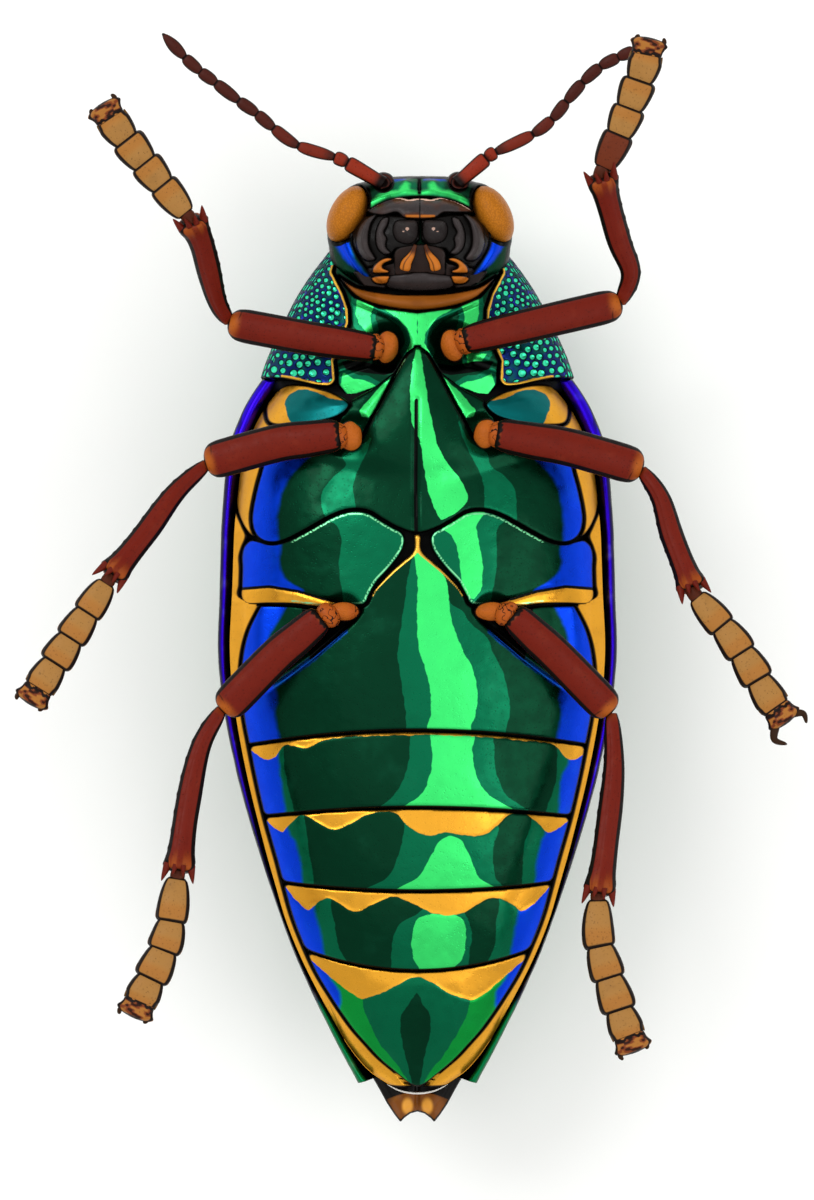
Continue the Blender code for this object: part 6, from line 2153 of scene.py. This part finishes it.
def foot_cups(name, line, joints, widest):
    """The cup-shaped joints of a foot, each set a little into the one before it."""
    last = len(joints) - 2
    cups = []
    for i, (low, high) in enumerate(zip(joints, joints[1:])):
        wide = widest * (0.92, 1.0, 1.04, 1.0)[i]
        start, end = int(round(low * FOOT_POINTS)), int(round(high * FOOT_POINTS))
        start = max(0, start - 9) if i else start
        shape = FIRST_CUP if i == 0 else LAST_CUP if i == last else CUP
        paint = cup_painter(i == 0, i == last, 0.8 if name == "fore_left" and i == 0 else 0.0)
        flat = 0.62 - 0.02 * i
        cups.append(limb(line[start:end + 1], scaled(shape, wide), 56, 48, flat, paint, cup_relief))
    return cups


def foot_claws(name, tip, ahead, aside, widest):
    claws = []
    for *points, thick in CLAWS.get(name, CLAWS["others"]):
        hook = curve_through([tip + ahead * out + aside * across * widest / 1.5 for out, across in points], 8)
        size = thick * 1.9 * (1 - np.linspace(0, 1, len(hook))) ** 0.5 + 0.05
        claws.append(thorn(hook, size, 14, rust=0.5, deep=0.72))
    return claws


def build_tarsus(name, path):
    pair, word = name.split("_")
    widest, joints = CUP_WIDTH[pair], FOOT_JOINTS[pair]
    line = even(curve_through(path, 12), FOOT_POINTS + 1)
    heel = line[0] - unit(line[6] - line[0]) * 0.5
    ankle = limb([heel, line[0], line[10]], [(0.0, 0.5), (0.5, 0.62), (1.0, 0.5)], 16, 32, 0.8, ankle_paint)
    tip, ahead = line[-1], unit(line[-1] - line[-8])
    aside = unit(np.cross(ahead, [0, 0, 1]))
    cap_path = [tip - ahead * 0.58, tip - ahead * 0.1, tip + ahead * 0.26]
    cap = limb(cap_path, scaled(CAP, widest), 34, 60, 0.56, cap_paint, cap_relief)
    spikes = []
    before_end = int(round((joints[-2] + (joints[-1] - joints[-2]) * 0.42) * FOOT_POINTS))
    for side in (-1, 1):
        root = line[before_end] + aside * side * widest * 0.4
        spikes.append(spike(root, root + ahead * 0.42 + aside * side * 0.09, 0.26, warm=0.2, deep=0.55))
    cups = foot_cups(name, line, joints, widest)
    claws = foot_claws(name, tip, ahead, aside, widest)
    dress(f"{pair}_tarsus_{word}", merged(ankle, *cups, cap, *claws, *spikes), TAN, "foot_horn")


def build_leg(name, leg):
    pair, word = name.split("_")
    coxa_z, femur_z, knee_z, ankle_z, claw_z = LEG_HEIGHTS[pair]
    start, middle, end = path_at(leg["femur"], femur_z, knee_z)
    out = unit(middle - start)
    build_coxa(pair, word, np.array([*leg["coxa"], coxa_z]), start, math.atan2(out[1], out[0]))
    build_femur(pair, word, start if pair == "hind" else start - out * 0.3, middle, end)
    build_tibia(pair, word, path_at(leg["tibia"], knee_z - 0.1, ankle_z))
    build_tarsus(name, path_at(leg["foot"], ankle_z + 0.03, claw_z))


# ---------------------------------------------------------------- feelers


def bead_painter(tone):
    """The paint of one joint of a feeler, from red at 0 to nearly black at 1."""

    def paint(along, angle):
        seam = np.maximum(rise(along, 0.9, 0.97), rise(along, 0.25 if tone == 0 else 0.12, 0.03))
        return {
            "warm": (1 - tone) * 0.9 * rise(along, 0.0, 0.4),
            # Painted shade along both upper edges, with dark seams at the joints.
            "deep": most(seam, 0.95 * side_shade_line(angle, 0.72, 0.84), 0.22 * tone),
        }

    return paint


def bead_relief(along, angle):
    return 0.008 * np.sin(angle * 3) * rise(along, 0.5, 0.85)


def socket(place):
    """The raised ring and the pit that a feeler stands in."""
    centre = np.array((*place, SOCKET_HEIGHT))
    turn = np.linspace(0, 2 * np.pi, 48, endpoint=False)
    circle = np.column_stack([np.cos(turn), np.sin(turn), SOCKET_SLOPE * np.sin(turn)])
    disc = np.stack([centre + radius * circle + (0, 0, lift) for radius, lift, _ in SOCKET_RINGS])
    shade = np.array([deep for _, _, deep in SOCKET_RINGS])[:, None] + 0 * disc[..., 0]
    return lofted(disc, {"deep": shade})


def build_feelers():
    """The feelers, as beads that turn darker toward the tip."""
    low, high = FEELER_HEIGHT
    for word, joints in FEELERS.items():
        count = len(joints) - 1
        path = np.array([(x, y, low + (high - low) * i / count) for i, (x, y) in enumerate(joints)])
        run = running_length(path)
        bends = even(curve_through(path, 10), 400)
        ends = [int(at / run[-1] * 399) for at in run]
        beads = []
        for i in range(count):
            wide = 0.48 if i == count - 1 else (0.66, 0.58, 0.52)[min(i, 2)]
            profile = scaled(BEAD, wide)
            if i == 0:
                profile = scaled(SCAPE, wide)
            if i == count - 1:
                profile = scaled(LAST_BEAD, wide, (1.0, 0.06))
            rings = max(20, int((run[i + 1] - run[i]) / 0.06))
            part = bends[max(0, ends[i] - 3):ends[i + 1] + 1]
            beads.append(limb(part, profile, rings, 28, 0.92, bead_painter(min(1.0, i / 5)), bead_relief))
        dress(f"antenna_{word}", merged(*beads, socket(SOCKETS[word])), FEELER, "feeler_horn")


build_core()
build_breast()
build_coxal_plates()
for segment_number, segment_zones in SEGMENTS.items():
    build_segment(segment_number, segment_zones)
build_rims()
for body_side in SIDES:
    build_side_strip(*body_side)
    build_shoulder(*body_side)
    build_arm(*body_side)
build_throat()
build_chin()
build_pronotum()
build_head()
build_labrum()
build_jaws()
build_labium()
build_eyes()
build_wing_cases()
build_tail()
for leg_name, leg_parts in LEGS.items():
    build_leg(leg_name, leg_parts)
build_feelers()

# ---------------------------------------------------------------- the studio

FLOOR_REACH = 1.5  # in metres, as the lights' places and sizes
LIGHTS = (
    ("key_light", (-0.16, 0.16, 0.26), 0.2, 0.42), ("fill_light", (0.2, -0.05, 0.24), 0.24, 0.25),
    ("top_light", (0.0, 0.0, 0.5), 0.5, 0.3),
)
VIEW_HEIGHT, VIEW_PLANE = 50.58, 10.0  # what the camera takes in along Y, at this height
VIEW_CENTRE = (-0.44, -0.84)


def build_floor():
    paint = Paint("studio_floor", "FAFAF8", specular=0.2)
    paint.mottle(60.0, 0.02, dark="E8E8E4")
    mesh = bpy.data.meshes.new("studio_floor")
    corners = [(x * FLOOR_REACH, y * FLOOR_REACH, 0) for x, y in ((-1, -1), (1, -1), (1, 1), (-1, 1))]
    mesh.from_pydata(corners, [], [(0, 1, 2, 3)])
    mesh.materials.append(paint.done((0.6, 0.7), 80.0))
    floor = bpy.data.objects.new("studio_floor", mesh)
    bpy.context.scene.collection.objects.link(floor)


def build_light():
    world = bpy.data.worlds.new("studio")
    world.use_nodes = True
    background = world.node_tree.nodes["Background"]
    background.inputs["Color"].default_value = (1.0, 1.0, 1.0, 1.0)
    background.inputs["Strength"].default_value = 0.75
    bpy.context.scene.world = world
    bpy.context.scene.view_settings.view_transform = "Standard"
    for name, place, size, power in LIGHTS:
        data = bpy.data.lights.new(name, "AREA")
        data.shape, data.size, data.energy = "DISK", size, power
        light = bpy.data.objects.new(name, data)
        bpy.context.scene.collection.objects.link(light)
        light.location = place
        light.rotation_euler = (-Vector(place)).to_track_quat("-Z", "Y").to_euler()


def build_camera():
    data = bpy.data.cameras.new("camera")
    data.lens, data.sensor_width = 250, 36
    data.clip_start, data.clip_end = 0.01, 10
    camera = bpy.data.objects.new("camera", data)
    bpy.context.scene.collection.objects.link(camera)
    height = VIEW_PLANE + VIEW_HEIGHT * data.lens / data.sensor_width
    camera.location = (VIEW_CENTRE[0] * MM, VIEW_CENTRE[1] * MM, height * MM)
    bpy.context.scene.camera = camera


build_floor()
build_light()
build_camera()
